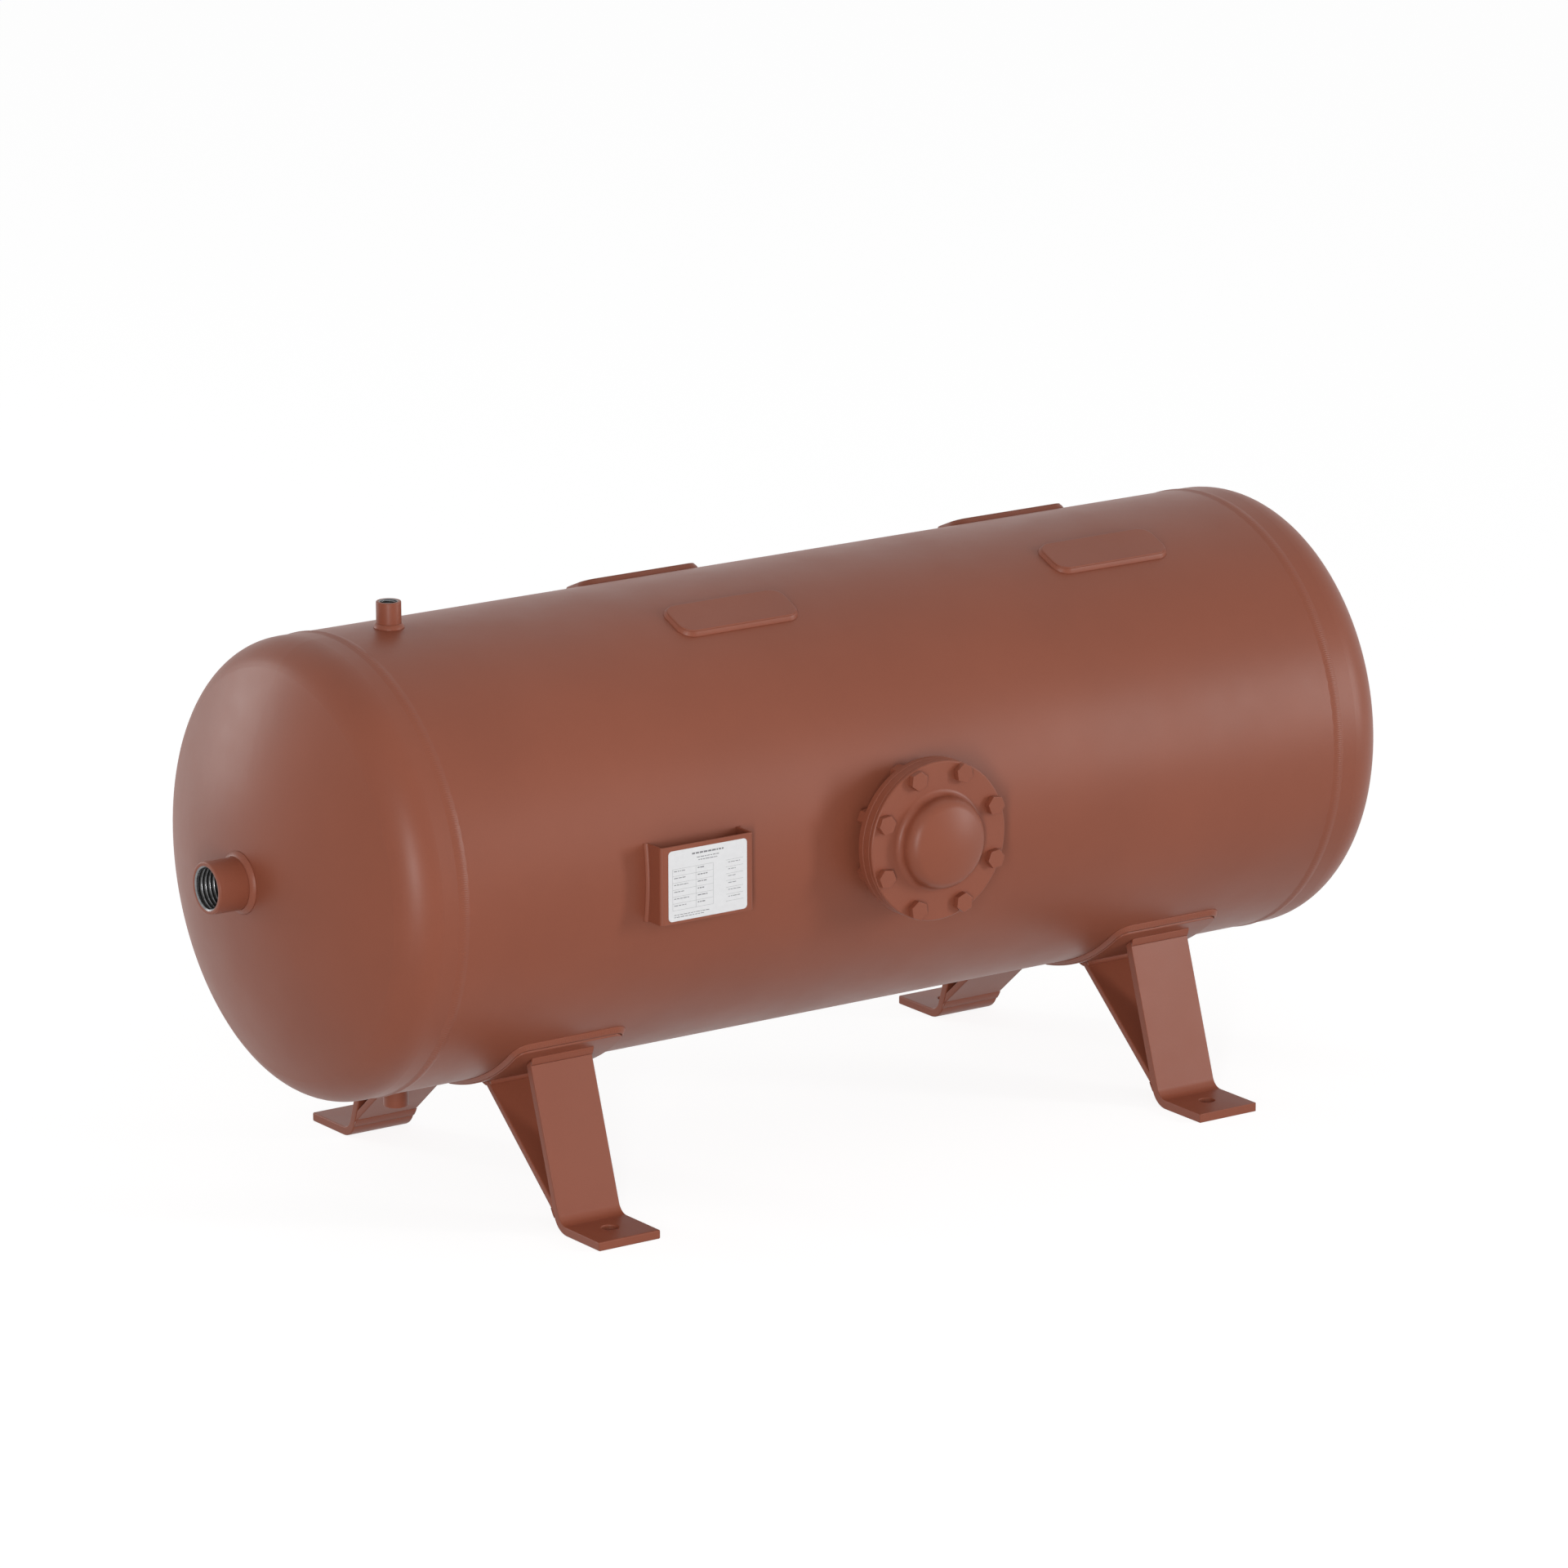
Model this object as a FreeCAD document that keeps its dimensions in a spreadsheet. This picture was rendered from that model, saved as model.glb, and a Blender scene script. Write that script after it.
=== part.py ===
"""A horizontal air receiver: a welded pressure vessel on four bent-bar legs.

The frame: X runs along the tank, -Y is the side of the handhole and the nameplate, +Z is up. The origin
lies on the floor, midway between the four foot bolts. All lengths are millimetres and angles degrees.

Most pieces sit on the vessel, so their bodies are drawn in a frame whose origin is on the tank's axis
and whose local Z points out through the wall; seat() then turns and moves that frame into place.
"""
import FreeCAD
import Part
import math
import os
import re
import Sketcher

doc = FreeCAD.newDocument("AirReceiver")

# ---------------------------------------------------------------- driving dimensions
SIZES = [
    # the vessel
    ("shell_radius", 250, "outside radius of the rolled shell"),
    ("shell_wall", 5, "shell plate"),
    ("head_wall", 5, "head plate"),
    ("seam_half_span", 577, "middle of the tank to each head seam"),
    ("head_flange", 25, "straight flange of a head"),
    ("crown_radius", 500, "outside crown radius of a head, as large as the tank's diameter"),
    ("knuckle_radius", 50, "outside knuckle radius of a head, a tenth of the tank's diameter"),
    ("axis_height", 381, "tank axis above the floor"),
    ("seam_bead_width", 18, "head seam bead"),
    ("seam_bead_crest", 9, "flat top of the head seam bead"),
    ("seam_bead_height", 1.7, "head seam bead above the plate"),
    ("long_bead_width", 12, "bead of the shell's own seam"),
    ("long_bead_height", 1.5, "the same above the plate"),
    ("long_bead_turn", 70, "shell seam, from the top towards the rear"),
    ("plate_fit", 0.15, "gap between a fitting and its hole in the plate"),
    # threaded sockets
    ("end_socket_radius", 28.5, "outside of the G1 1/2 end socket"),
    ("end_thread_radius", 22.42, "minor radius of the G1 1/2 thread"),
    ("end_socket_stand", 40, "end socket face beyond the pole of the head"),
    ("end_socket_tail", 12, "end socket inside the head"),
    ("end_socket_bevel", 1.6, "bevel of the end socket's rims"),
    ("end_weld_leg", 5.7, "fillet at the end socket"),
    ("small_socket_radius", 13.5, "outside of a G1/2 socket"),
    ("small_thread_radius", 9.315, "minor radius of the G1/2 thread"),
    ("small_socket_x", 508, "G1/2 sockets, from the middle of the tank"),
    ("small_socket_stand", 28.5, "G1/2 socket face beyond the shell"),
    ("small_socket_tail", 8, "G1/2 socket inside the shell"),
    ("small_socket_bevel", 1, "bevel of a G1/2 socket's rims"),
    ("small_weld_leg", 3.2, "fillet at a G1/2 socket, along the shell"),
    ("small_weld_rise", 5.7, "fillet at a G1/2 socket, up its side"),
    # handhole
    ("neck_radius", 57.15, "outside of the handhole neck pipe"),
    ("neck_wall", 5, "neck pipe wall"),
    ("neck_tail", 14, "neck pipe inside the shell"),
    ("neck_setback", 2, "neck end behind the flange face"),
    ("neck_weld_leg", 5, "fillet between neck and shell"),
    ("flange_weld_leg", 4, "fillet between neck and backing ring"),
    ("flange_radius", 88, "flange, backing ring and cover"),
    ("stack_stand", 16, "back of the backing ring beyond the shell"),
    ("backing_ring_thickness", 8.2, "backing ring"),
    ("backing_ring_bevel", 0.9, "bevel at the joint of ring and flange"),
    ("flange_thickness", 10.6, "flange"),
    ("gasket_thickness", 0.8, "gasket"),
    ("gasket_inset", 0.8, "gasket edge inside the flange edge"),
    ("cover_thickness", 5, "pressed cover plate"),
    ("cover_bevel", 1.2, "bevel of the cover's front rim"),
    ("dome_radius", 50.5, "side of the cover's dome"),
    ("dome_height", 30, "dome above the cover's flat"),
    ("dome_root", 7, "hollow radius at the foot of the dome"),
    ("dome_knuckle", 16, "knuckle radius of the dome"),
    ("dome_crown", 120, "crown radius of the dome"),
    ("bolt_circle_radius", 77.5, "cover bolts"),
    ("bolt_count", 8, "cover bolts"),
    ("bolt_radius", 6, "M12"),
    ("bolt_hole_radius", 6.75, "clearance hole for M12"),
    ("bolt_length", 35, "under the head"),
    ("bolt_head_height", 7.5, "hexagon head"),
    ("hexagon_flats", 19, "across flats of heads and nuts"),
    ("nut_height", 10, "nut"),
    ("thread_fit", 0.1, "gap between bolt and nut"),
    # nameplate
    ("bracket_x", -288.6, "middle of the nameplate bracket"),
    ("bracket_width", 118, "bracket, along the tank"),
    ("bracket_height", 85, "bracket, up the shell"),
    ("bracket_stand", 24.7, "bracket face beyond the shell"),
    ("bracket_sheet", 3, "bracket sheet"),
    ("bracket_bend", 4, "outside bend radius of the bracket"),
    ("bracket_weld", 3.5, "fillet at the bracket"),
    ("label_width", 100, "label"),
    ("label_height", 77, "label"),
    ("label_corner", 4.5, "label corner radius"),
    ("label_thickness", 0.4, "label"),
    ("label_drop", 0.8, "middle of the label below the tank axis"),
    # mounting pads on top
    ("pad_left_x", -135.3, "middle of the two left pads"),
    ("pad_right_x", 362.5, "middle of the two right pads"),
    ("pad_length", 151, "mounting pad"),
    ("pad_width", 49, "mounting pad"),
    ("pad_thickness", 5, "mounting pad"),
    ("pad_corner", 15, "mounting pad corner radius"),
    ("pad_tilt", 22.6, "pad normal from the vertical"),
    ("pad_weld", 3, "fillet round a pad"),
    # saddle pads and legs
    ("saddle_left_x", -395.5, "middle of the two left saddle pads"),
    ("saddle_right_x", 400, "middle of the two right saddle pads"),
    ("saddle_length", 136, "saddle pad along the tank"),
    ("saddle_half_angle", 18.5, "half of the arc that a saddle pad covers"),
    ("saddle_turn", 155.6, "middle of a saddle pad, from the top"),
    ("saddle_thickness", 6, "saddle pad"),
    ("saddle_corner", 12, "saddle pad corner radius"),
    ("saddle_weld", 5, "bead round a saddle pad"),
    ("leg_x", 398.5, "middle of a leg"),
    ("leg_width", 78, "flat bar of leg and brace"),
    ("leg_thickness", 10, "flat bar of the leg"),
    ("leg_lean", 18.2, "leg from the vertical"),
    ("leg_bend", 15, "inside bend radius at the foot"),
    ("foot_bolt_y", 248, "foot bolt from the tank's middle plane"),
    ("foot_heel", 35.7, "foot bolt to the corner of leg and foot"),
    ("foot_toe", 39, "foot bolt to the end of the foot"),
    ("foot_hole_radius", 9, "clearance hole for an M16 anchor"),
    ("brace_thickness", 8, "flat bar of the brace"),
    ("brace_lean", 49.7, "brace from the vertical"),
    ("brace_rise", 20.5, "lower edge of the brace on the leg"),
    ("leg_weld_leg", 6, "fillets of leg and brace"),
]


def write_sheet():
    """The driving dimensions: plain numbers, each under its own alias, with a note beside it."""
    sheet = doc.addObject("Spreadsheet::Sheet", "Sizes")
    for row, (alias, value, note) in enumerate(SIZES, start=1):
        sheet.set("A%d" % row, alias)
        sheet.set("B%d" % row, str(value))
        sheet.set("C%d" % row, note)
        sheet.setAlias("B%d" % row, alias)
    doc.recompute()
    return sheet


sheet = write_sheet()


ALIASES = re.compile(r"\b(" + "|".join(row[0] for row in SIZES) + r")\b")


def formula(text):
    """A formula written with bare aliases, as FreeCAD wants it: Sizes.alias for each."""
    return ALIASES.sub(r"Sizes.\1", text)


def number(text):
    """What a formula gives at present."""
    return float(FreeCAD.Units.Quantity(sheet.evalExpression(text)).Value)


def bind(thing, name, text):
    """Ties a property or a sketch constraint to a formula of the sheet."""
    thing.setExpression(name, formula(text))


# ---------------------------------------------------------------- sketches and features
def new_body(label):
    body = doc.addObject("PartDesign::Body", label)
    body.Label = label
    return body


def seat(body, x, tilt="0", axis=FreeCAD.Vector(1, 0, 0)):
    """Puts a body's frame on the tank's axis at x, turned by tilt so that its Z points out."""
    body.Placement = FreeCAD.Placement(FreeCAD.Vector(), FreeCAD.Rotation(axis, number(tilt)))
    bind(body, "Placement.Base.x", x)
    bind(body, "Placement.Base.z", "axis_height")
    if number(tilt):
        bind(body, "Placement.Rotation.Angle", tilt)


def new_sketch(body, plane):
    """An empty sketch on one of the body's own origin planes: XY_Plane, XZ_Plane or YZ_Plane."""
    sketch = body.newObject("Sketcher::SketchObject", body.Name + "_sketch")
    support = [feature for feature in body.Origin.OriginFeatures if feature.Role == plane][0]
    sketch.AttachmentSupport = [(support, "")]
    sketch.MapMode = "FlatFace"
    return sketch


def fix_point(sketch, geometry, end, across, up):
    """Holds one end of a sketch element at its two distances from the sketch's origin."""
    for kind, text in (("DistanceX", across), ("DistanceY", up)):
        index = sketch.addConstraint(Sketcher.Constraint(kind, -1, 1, geometry, end, number(text)))
        bind(sketch, "Constraints[%d]" % index, text)


def fix_radius(sketch, geometry, text):
    index = sketch.addConstraint(Sketcher.Constraint("Radius", geometry, number(text)))
    bind(sketch, "Constraints[%d]" % index, text)


def arc_between(start, end, radius, turn):
    """The shorter arc from start to end, turning left (turn = 1) or right (turn = -1)."""
    chord = end - start
    rise = math.sqrt(max(radius ** 2 - (chord.Length / 2) ** 2, 0))
    side = FreeCAD.Vector(-chord.y, chord.x, 0).normalize() * turn
    centre = (start + end) * 0.5 + side * rise
    first, last = (start, end) if turn > 0 else (end, start)
    circle = Part.Circle(centre, FreeCAD.Vector(0, 0, 1), radius)
    angles = [math.atan2(point.y - centre.y, point.x - centre.x) for point in (first, last)]
    return Part.ArcOfCircle(circle, *angles)


def outline(sketch, corners):
    """Draws a closed outline. A corner is (across, up), and where an arc runs on to the next corner,
    (across, up, radius, turn) with turn 1 for a left and -1 for a right turn."""
    points = [FreeCAD.Vector(number(corner[0]), number(corner[1]), 0) for corner in corners]
    ends = []
    for corner, start, end in zip(corners, points, points[1:] + points[:1]):
        if len(corner) == 4:
            geometry = sketch.addGeometry(arc_between(start, end, number(corner[2]), corner[3]), False)
            fix_radius(sketch, geometry, corner[2])
            ends.append((geometry, 1, 2) if corner[3] > 0 else (geometry, 2, 1))
        else:
            geometry = sketch.addGeometry(Part.LineSegment(start, end), False)
            ends.append((geometry, 1, 2))
    for before, after, corner in zip(ends[-1:] + ends[:-1], ends, corners):
        join = Sketcher.Constraint("Coincident", before[0], before[2], after[0], after[1])
        sketch.addConstraint(join)
        fix_point(sketch, after[0], after[1], corner[0], corner[1])


def circle(sketch, radius, across="0", up="0"):
    centre = FreeCAD.Vector(number(across), number(up), 0)
    ring = Part.Circle(centre, FreeCAD.Vector(0, 0, 1), number(radius))
    geometry = sketch.addGeometry(ring, False)
    fix_radius(sketch, geometry, radius)
    fix_point(sketch, geometry, 3, across, up)


def rounded_box(sketch, width, height, corner):
    """A rectangle with round corners about the sketch's origin, drawn leftwards round its middle."""
    half_w, half_h = "(%s)/2" % width, "(%s)/2" % height
    inner_w, inner_h = "(%s - (%s))" % (half_w, corner), "(%s - (%s))" % (half_h, corner)
    outline(sketch, [
        ("-" + inner_w, "-" + half_h),
        (inner_w, "-" + half_h, corner, 1),
        (half_w, "-" + inner_h),
        (half_w, inner_h, corner, 1),
        (inner_w, half_h),
        ("-" + inner_w, half_h, corner, 1),
        ("-" + half_w, inner_h),
        ("-" + half_w, "-" + inner_h, corner, 1),
    ])


def pad(body, sketch, length, both_ways=False):
    feature = body.newObject("PartDesign::Pad", body.Name + "_pad")
    feature.Profile = sketch
    feature.SideType = "Symmetric" if both_ways else "One side"
    bind(feature, "Length", length)
    doc.recompute()
    return feature


def revolve(body, sketch, axis):
    """Turns a sketch all the way round one of the body's own axes."""
    feature = body.newObject("PartDesign::Revolution", body.Name + "_turned")
    feature.Profile = sketch
    line = [item for item in body.Origin.OriginFeatures if item.Role == axis][0]
    feature.ReferenceAxis = (line, [""])
    feature.Angle = 360
    doc.recompute()
    return feature


def pocket(body, sketch, one_way=None):
    """Cuts a sketch right through, both ways, or one way only: "forward" along the sketch's normal or
    "backward" against it. It must take something away."""
    before = body.Shape.Volume
    feature = body.newObject("PartDesign::Pocket", body.Name + "_cut")
    feature.Profile = sketch
    feature.Type = "ThroughAll"
    feature.SideType = "Symmetric" if one_way is None else "One side"
    feature.Reversed = one_way == "forward"
    doc.recompute()
    if not body.Shape.Volume < before:
        raise RuntimeError(body.Label + ": a cut took nothing away")
    return feature


def cut_cylinder(body, radius):
    """Cuts away whatever lies inside a cylinder about the tank's axis."""
    sketch = new_sketch(body, "YZ_Plane")
    circle(sketch, radius)
    return pocket(body, sketch)


def keep_cylinder(body, radius):
    """Cuts away whatever lies outside a cylinder about the tank's axis."""
    sketch = new_sketch(body, "YZ_Plane")
    circle(sketch, radius)
    circle(sketch, "2*(%s)" % radius)
    return pocket(body, sketch)


def turned(label, profile, x="0", tilt="0", axis=FreeCAD.Vector(1, 0, 0)):
    """A round piece about its own Z, from its (radius, height) outline."""
    body = new_body(label)
    sketch = new_sketch(body, "XZ_Plane")
    outline(sketch, profile)
    revolve(body, sketch, "Z_Axis")
    seat(body, x, tilt, axis)
    return body


# ---------------------------------------------------------------- the vessel
ALONG_Y = FreeCAD.Vector(0, 1, 0)
AGAINST_Y = FreeCAD.Vector(0, -1, 0)
ALONG_X = FreeCAD.Vector(1, 0, 0)
AGAINST_X = FreeCAD.Vector(-1, 0, 0)
ENDS = {"left": AGAINST_Y, "right": ALONG_Y}

# along the axis, from the middle of the tank
HEAD_TANGENT = "(seam_half_span + head_flange)"
CROWN_REACH = "sqrt((crown_radius - knuckle_radius)^2 - (shell_radius - knuckle_radius)^2)"
CROWN_CENTRE = "(%s - %s)" % (HEAD_TANGENT, CROWN_REACH)
POLE = "(%s + crown_radius)" % CROWN_CENTRE


def crown_point(radius):
    """Where the knuckle of a head runs into its crown, on a surface of this crown radius."""
    share = "(%s)/(crown_radius - knuckle_radius)" % radius
    return ("(shell_radius - knuckle_radius)*%s" % share, "%s + %s*%s" % (CROWN_CENTRE, CROWN_REACH, share))


def make_shell():
    """The rolled cylinder, with holes for the handhole neck and the two small sockets."""
    body = new_body("shell")
    ring = new_sketch(body, "YZ_Plane")
    circle(ring, "shell_radius")
    circle(ring, "shell_radius - shell_wall")
    pad(body, ring, "2*seam_half_span", both_ways=True)
    sockets = new_sketch(body, "XY_Plane")
    circle(sockets, "small_socket_radius + plate_fit", "-small_socket_x")
    pocket(body, sockets)
    neck = new_sketch(body, "XZ_Plane")
    circle(neck, "neck_radius + plate_fit")
    pocket(body, neck, "forward")
    seat(body, "0")


def make_head(side):
    """A torispherical head: straight flange, knuckle and crown, bored for its end socket."""
    outer = crown_point("crown_radius")
    inner = crown_point("crown_radius - head_wall")
    bore = "(end_socket_radius + plate_fit)"
    turned("head_" + side, [
        ("shell_radius", "seam_half_span"),
        ("shell_radius", HEAD_TANGENT, "knuckle_radius", 1),
        outer + ("crown_radius", 1),
        (bore, "%s + sqrt(crown_radius^2 - %s^2)" % (CROWN_CENTRE, bore)),
        (bore, "%s + sqrt((crown_radius - head_wall)^2 - %s^2)" % (CROWN_CENTRE, bore),
         "crown_radius - head_wall", -1),
        inner + ("knuckle_radius - head_wall", -1),
        ("shell_radius - head_wall", HEAD_TANGENT),
        ("shell_radius - head_wall", "seam_half_span"),
    ], tilt="90", axis=ENDS[side])


def make_seam_weld(side):
    """The bead over the joint of shell and head."""
    crest = "shell_radius + seam_bead_height"
    turned("seam_weld_" + side, [
        ("shell_radius", "seam_half_span - seam_bead_width/2"),
        (crest, "seam_half_span - seam_bead_crest/2"),
        (crest, "seam_half_span + seam_bead_crest/2"),
        ("shell_radius", "seam_half_span + seam_bead_width/2"),
    ], tilt="90", axis=ENDS[side])


def make_shell_seam_weld():
    """The bead of the shell's own seam, along the rear."""
    body = new_body("shell_seam_weld")
    half = "long_bead_width/2"
    crest = "shell_radius + long_bead_height"
    bulge = "((%s)^2 + long_bead_height^2)/(2*long_bead_height)" % half
    sketch = new_sketch(body, "YZ_Plane")
    outline(sketch, [
        (half, "shell_radius", bulge, 1),
        ("0", crest, bulge, 1),
        ("-" + half, "shell_radius"),
        ("-" + half, "shell_radius - long_bead_height"),
        (half, "shell_radius - long_bead_height"),
    ])
    pad(body, sketch, "2*seam_half_span - seam_bead_width", both_ways=True)
    cut_cylinder(body, "shell_radius")
    seat(body, "0", "long_bead_turn", AGAINST_X)


# ---------------------------------------------------------------- threaded sockets
def socket_profile(outer, bore, bottom, face, bevel):
    """A plain socket with bevelled rims, bored to the minor radius of its thread."""
    return [
        ("%s + %s" % (bore, bevel), bottom),
        (outer, bottom),
        (outer, "%s - %s" % (face, bevel)),
        ("%s - %s" % (outer, bevel), face),
        ("%s + %s" % (bore, bevel), face),
        (bore, "%s - %s" % (face, bevel)),
        (bore, "%s + %s" % (bottom, bevel)),
    ]


def make_end_socket(side):
    face = "%s + end_socket_stand" % POLE
    bottom = "%s - head_wall - end_socket_tail" % POLE
    profile = socket_profile("end_socket_radius", "end_thread_radius", bottom, face, "end_socket_bevel")
    turned("end_socket_" + side, profile, tilt="90", axis=ENDS[side])


def make_end_socket_weld(side):
    """The fillet between the end socket and the crown."""
    toe = "(end_socket_radius + end_weld_leg)"
    root_height = "%s + sqrt(crown_radius^2 - end_socket_radius^2)" % CROWN_CENTRE
    toe_height = "%s + sqrt(crown_radius^2 - %s^2)" % (CROWN_CENTRE, toe)
    turned("end_socket_weld_" + side, [
        (toe, toe_height),
        ("end_socket_radius", root_height + " + end_weld_leg"),
        ("end_socket_radius", root_height, "crown_radius", -1),
    ], tilt="90", axis=ENDS[side])


def make_small_socket(name, tilt):
    """A G1/2 socket through the shell, with the fillet round it."""
    face = "shell_radius + small_socket_stand"
    bottom = "shell_radius - shell_wall - small_socket_tail"
    profile = socket_profile("small_socket_radius", "small_thread_radius", bottom, face, "small_socket_bevel")
    turned(name, profile, "-small_socket_x", tilt)
    weld = turned(name + "_weld", [
        ("small_socket_radius", "shell_radius - small_weld_rise"),
        ("small_socket_radius + small_weld_leg", "shell_radius - small_weld_rise"),
        ("small_socket_radius + small_weld_leg", "shell_radius"),
        ("small_socket_radius", "shell_radius + small_weld_rise"),
    ], "-small_socket_x", tilt)
    cut_cylinder(weld, "shell_radius")


# ---------------------------------------------------------------- handhole
# heights above the tank's axis, along the handhole's own axis
STACK_BACK = "(shell_radius + stack_stand)"
FLANGE_BACK = "(%s + backing_ring_thickness)" % STACK_BACK
FLANGE_FACE = "(%s + flange_thickness)" % FLANGE_BACK
COVER_BACK = "(%s + gasket_thickness)" % FLANGE_FACE
COVER_FACE = "(%s + cover_thickness)" % COVER_BACK
NECK_SEAT = "(neck_radius + plate_fit)"


def bolt_circle(body, radius):
    """Bores the cover's bolt holes, straddling the centre lines."""
    sketch = new_sketch(body, "XY_Plane")
    half_step = "180/bolt_count"
    circle(sketch, radius, "bolt_circle_radius*cos(%s)" % half_step, "bolt_circle_radius*sin(%s)" % half_step)
    hole = pocket(body, sketch, "forward")
    around(body, [hole])


def around(body, features):
    """Repeats features once for each bolt."""
    pattern = body.newObject("PartDesign::PolarPattern", body.Name + "_pattern")
    pattern.Originals = features
    line = [item for item in body.Origin.OriginFeatures if item.Role == "Z_Axis"][0]
    pattern.Axis = (line, [""])
    pattern.Angle = 360
    bind(pattern, "Occurrences", "bolt_count")
    body.Tip = pattern
    doc.recompute()


def make_neck():
    """The pipe through the shell that carries the flange, with its two fillets."""
    inner = "neck_radius - neck_wall"
    bottom = "shell_radius - shell_wall - neck_tail"
    top = "%s - neck_setback" % FLANGE_FACE
    turned("handhole_neck", [
        (inner, bottom),
        ("neck_radius", bottom),
        ("neck_radius", top),
        (inner, top),
    ], tilt="90")
    shell_fillet = turned("handhole_neck_weld", [
        ("neck_radius", "shell_radius - neck_tail"),
        ("neck_radius + neck_weld_leg", "shell_radius - neck_tail"),
        ("neck_radius + neck_weld_leg", "shell_radius - neck_weld_leg"),
        ("neck_radius", "shell_radius + neck_weld_leg"),
    ], tilt="90")
    cut_cylinder(shell_fillet, "shell_radius")
    turned("handhole_flange_weld", [
        ("neck_radius", "%s - flange_weld_leg" % STACK_BACK),
        ("neck_radius + flange_weld_leg", STACK_BACK),
        ("neck_radius", STACK_BACK),
    ], tilt="90")


def make_flange():
    """The flange and the backing ring behind it, bevelled where they meet."""
    ring = turned("handhole_backing_ring", [
        (NECK_SEAT, STACK_BACK),
        ("flange_radius", STACK_BACK),
        ("flange_radius", "%s - backing_ring_bevel" % FLANGE_BACK),
        ("flange_radius - backing_ring_bevel", FLANGE_BACK),
        (NECK_SEAT, FLANGE_BACK),
    ], tilt="90")
    bolt_circle(ring, "bolt_hole_radius")
    flange = turned("handhole_flange", [
        (NECK_SEAT, FLANGE_BACK),
        ("flange_radius", FLANGE_BACK),
        ("flange_radius", FLANGE_FACE),
        (NECK_SEAT, FLANGE_FACE),
    ], tilt="90")
    bolt_circle(flange, "bolt_hole_radius")
    gasket = turned("handhole_gasket", [
        (NECK_SEAT, FLANGE_FACE),
        ("flange_radius - gasket_inset", FLANGE_FACE),
        ("flange_radius - gasket_inset", COVER_BACK),
        (NECK_SEAT, COVER_BACK),
    ], tilt="90")
    bolt_circle(gasket, "bolt_hole_radius")


def make_cover():
    """A flat rim pressed out into a dome: hollow root, upright side, knuckle and crown."""
    crown_centre = "(%s + dome_height - dome_crown)" % COVER_FACE
    reach = "sqrt((dome_crown - dome_knuckle)^2 - (dome_radius - dome_knuckle)^2)"
    knuckle = "%s + %s" % (crown_centre, reach)

    def crown_start(radius):
        share = "(%s)/(dome_crown - dome_knuckle)" % radius
        return ("(dome_radius - dome_knuckle)*" + share, "%s + %s*%s" % (crown_centre, reach, share))

    body = turned("handhole_cover", [
        ("dome_radius + dome_root", COVER_BACK),
        ("flange_radius", COVER_BACK),
        ("flange_radius", "%s - cover_bevel" % COVER_FACE),
        ("flange_radius - cover_bevel", COVER_FACE),
        ("dome_radius + dome_root", COVER_FACE, "dome_root", -1),
        ("dome_radius", COVER_FACE + " + dome_root"),
        ("dome_radius", knuckle, "dome_knuckle", 1),
        crown_start("dome_crown") + ("dome_crown", 1),
        ("0", crown_centre + " + dome_crown"),
        ("0", crown_centre + " + dome_crown - cover_thickness", "dome_crown - cover_thickness", -1),
        crown_start("dome_crown - cover_thickness") + ("dome_knuckle - cover_thickness", -1),
        ("dome_radius - cover_thickness", knuckle),
        ("dome_radius - cover_thickness", COVER_FACE + " + dome_root", "dome_root + cover_thickness", 1),
    ], tilt="90")
    bolt_circle(body, "bolt_hole_radius")


def hexagon(sketch):
    """A hexagon on the bolt circle, a flat towards the handhole's axis."""
    corner = "hexagon_flats/sqrt(3)"
    half_step = "180/bolt_count"
    outline(sketch, [
        ("bolt_circle_radius*cos(%s) + %s*cos(%s + %d)" % (half_step, corner, half_step, angle),
         "bolt_circle_radius*sin(%s) + %s*sin(%s + %d)" % (half_step, corner, half_step, angle))
        for angle in range(30, 390, 60)
    ])


def on_bolt_circle(sketch, radius):
    half_step = "180/bolt_count"
    circle(sketch, radius, "bolt_circle_radius*cos(%s)" % half_step, "bolt_circle_radius*sin(%s)" % half_step)


def lift(sketch, height):
    bind(sketch, "AttachmentOffset.Base.z", height)


def make_bolts():
    """Eight hexagon bolts through the stack, and eight nuts behind it."""
    bolts = new_body("handhole_bolts")
    head = new_sketch(bolts, "XY_Plane")
    lift(head, COVER_FACE)
    hexagon(head)
    heads = pad(bolts, head, "bolt_head_height")
    shank = new_sketch(bolts, "XY_Plane")
    lift(shank, COVER_FACE + " - bolt_length")
    on_bolt_circle(shank, "bolt_radius")
    shanks = pad(bolts, shank, "bolt_length")
    around(bolts, [heads, shanks])
    seat(bolts, "0", "90")
    nuts = new_body("handhole_nuts")
    ring = new_sketch(nuts, "XY_Plane")
    lift(ring, STACK_BACK + " - nut_height")
    hexagon(ring)
    on_bolt_circle(ring, "bolt_radius + thread_fit")
    around(nuts, [pad(nuts, ring, "nut_height")])
    seat(nuts, "0", "90")


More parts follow.
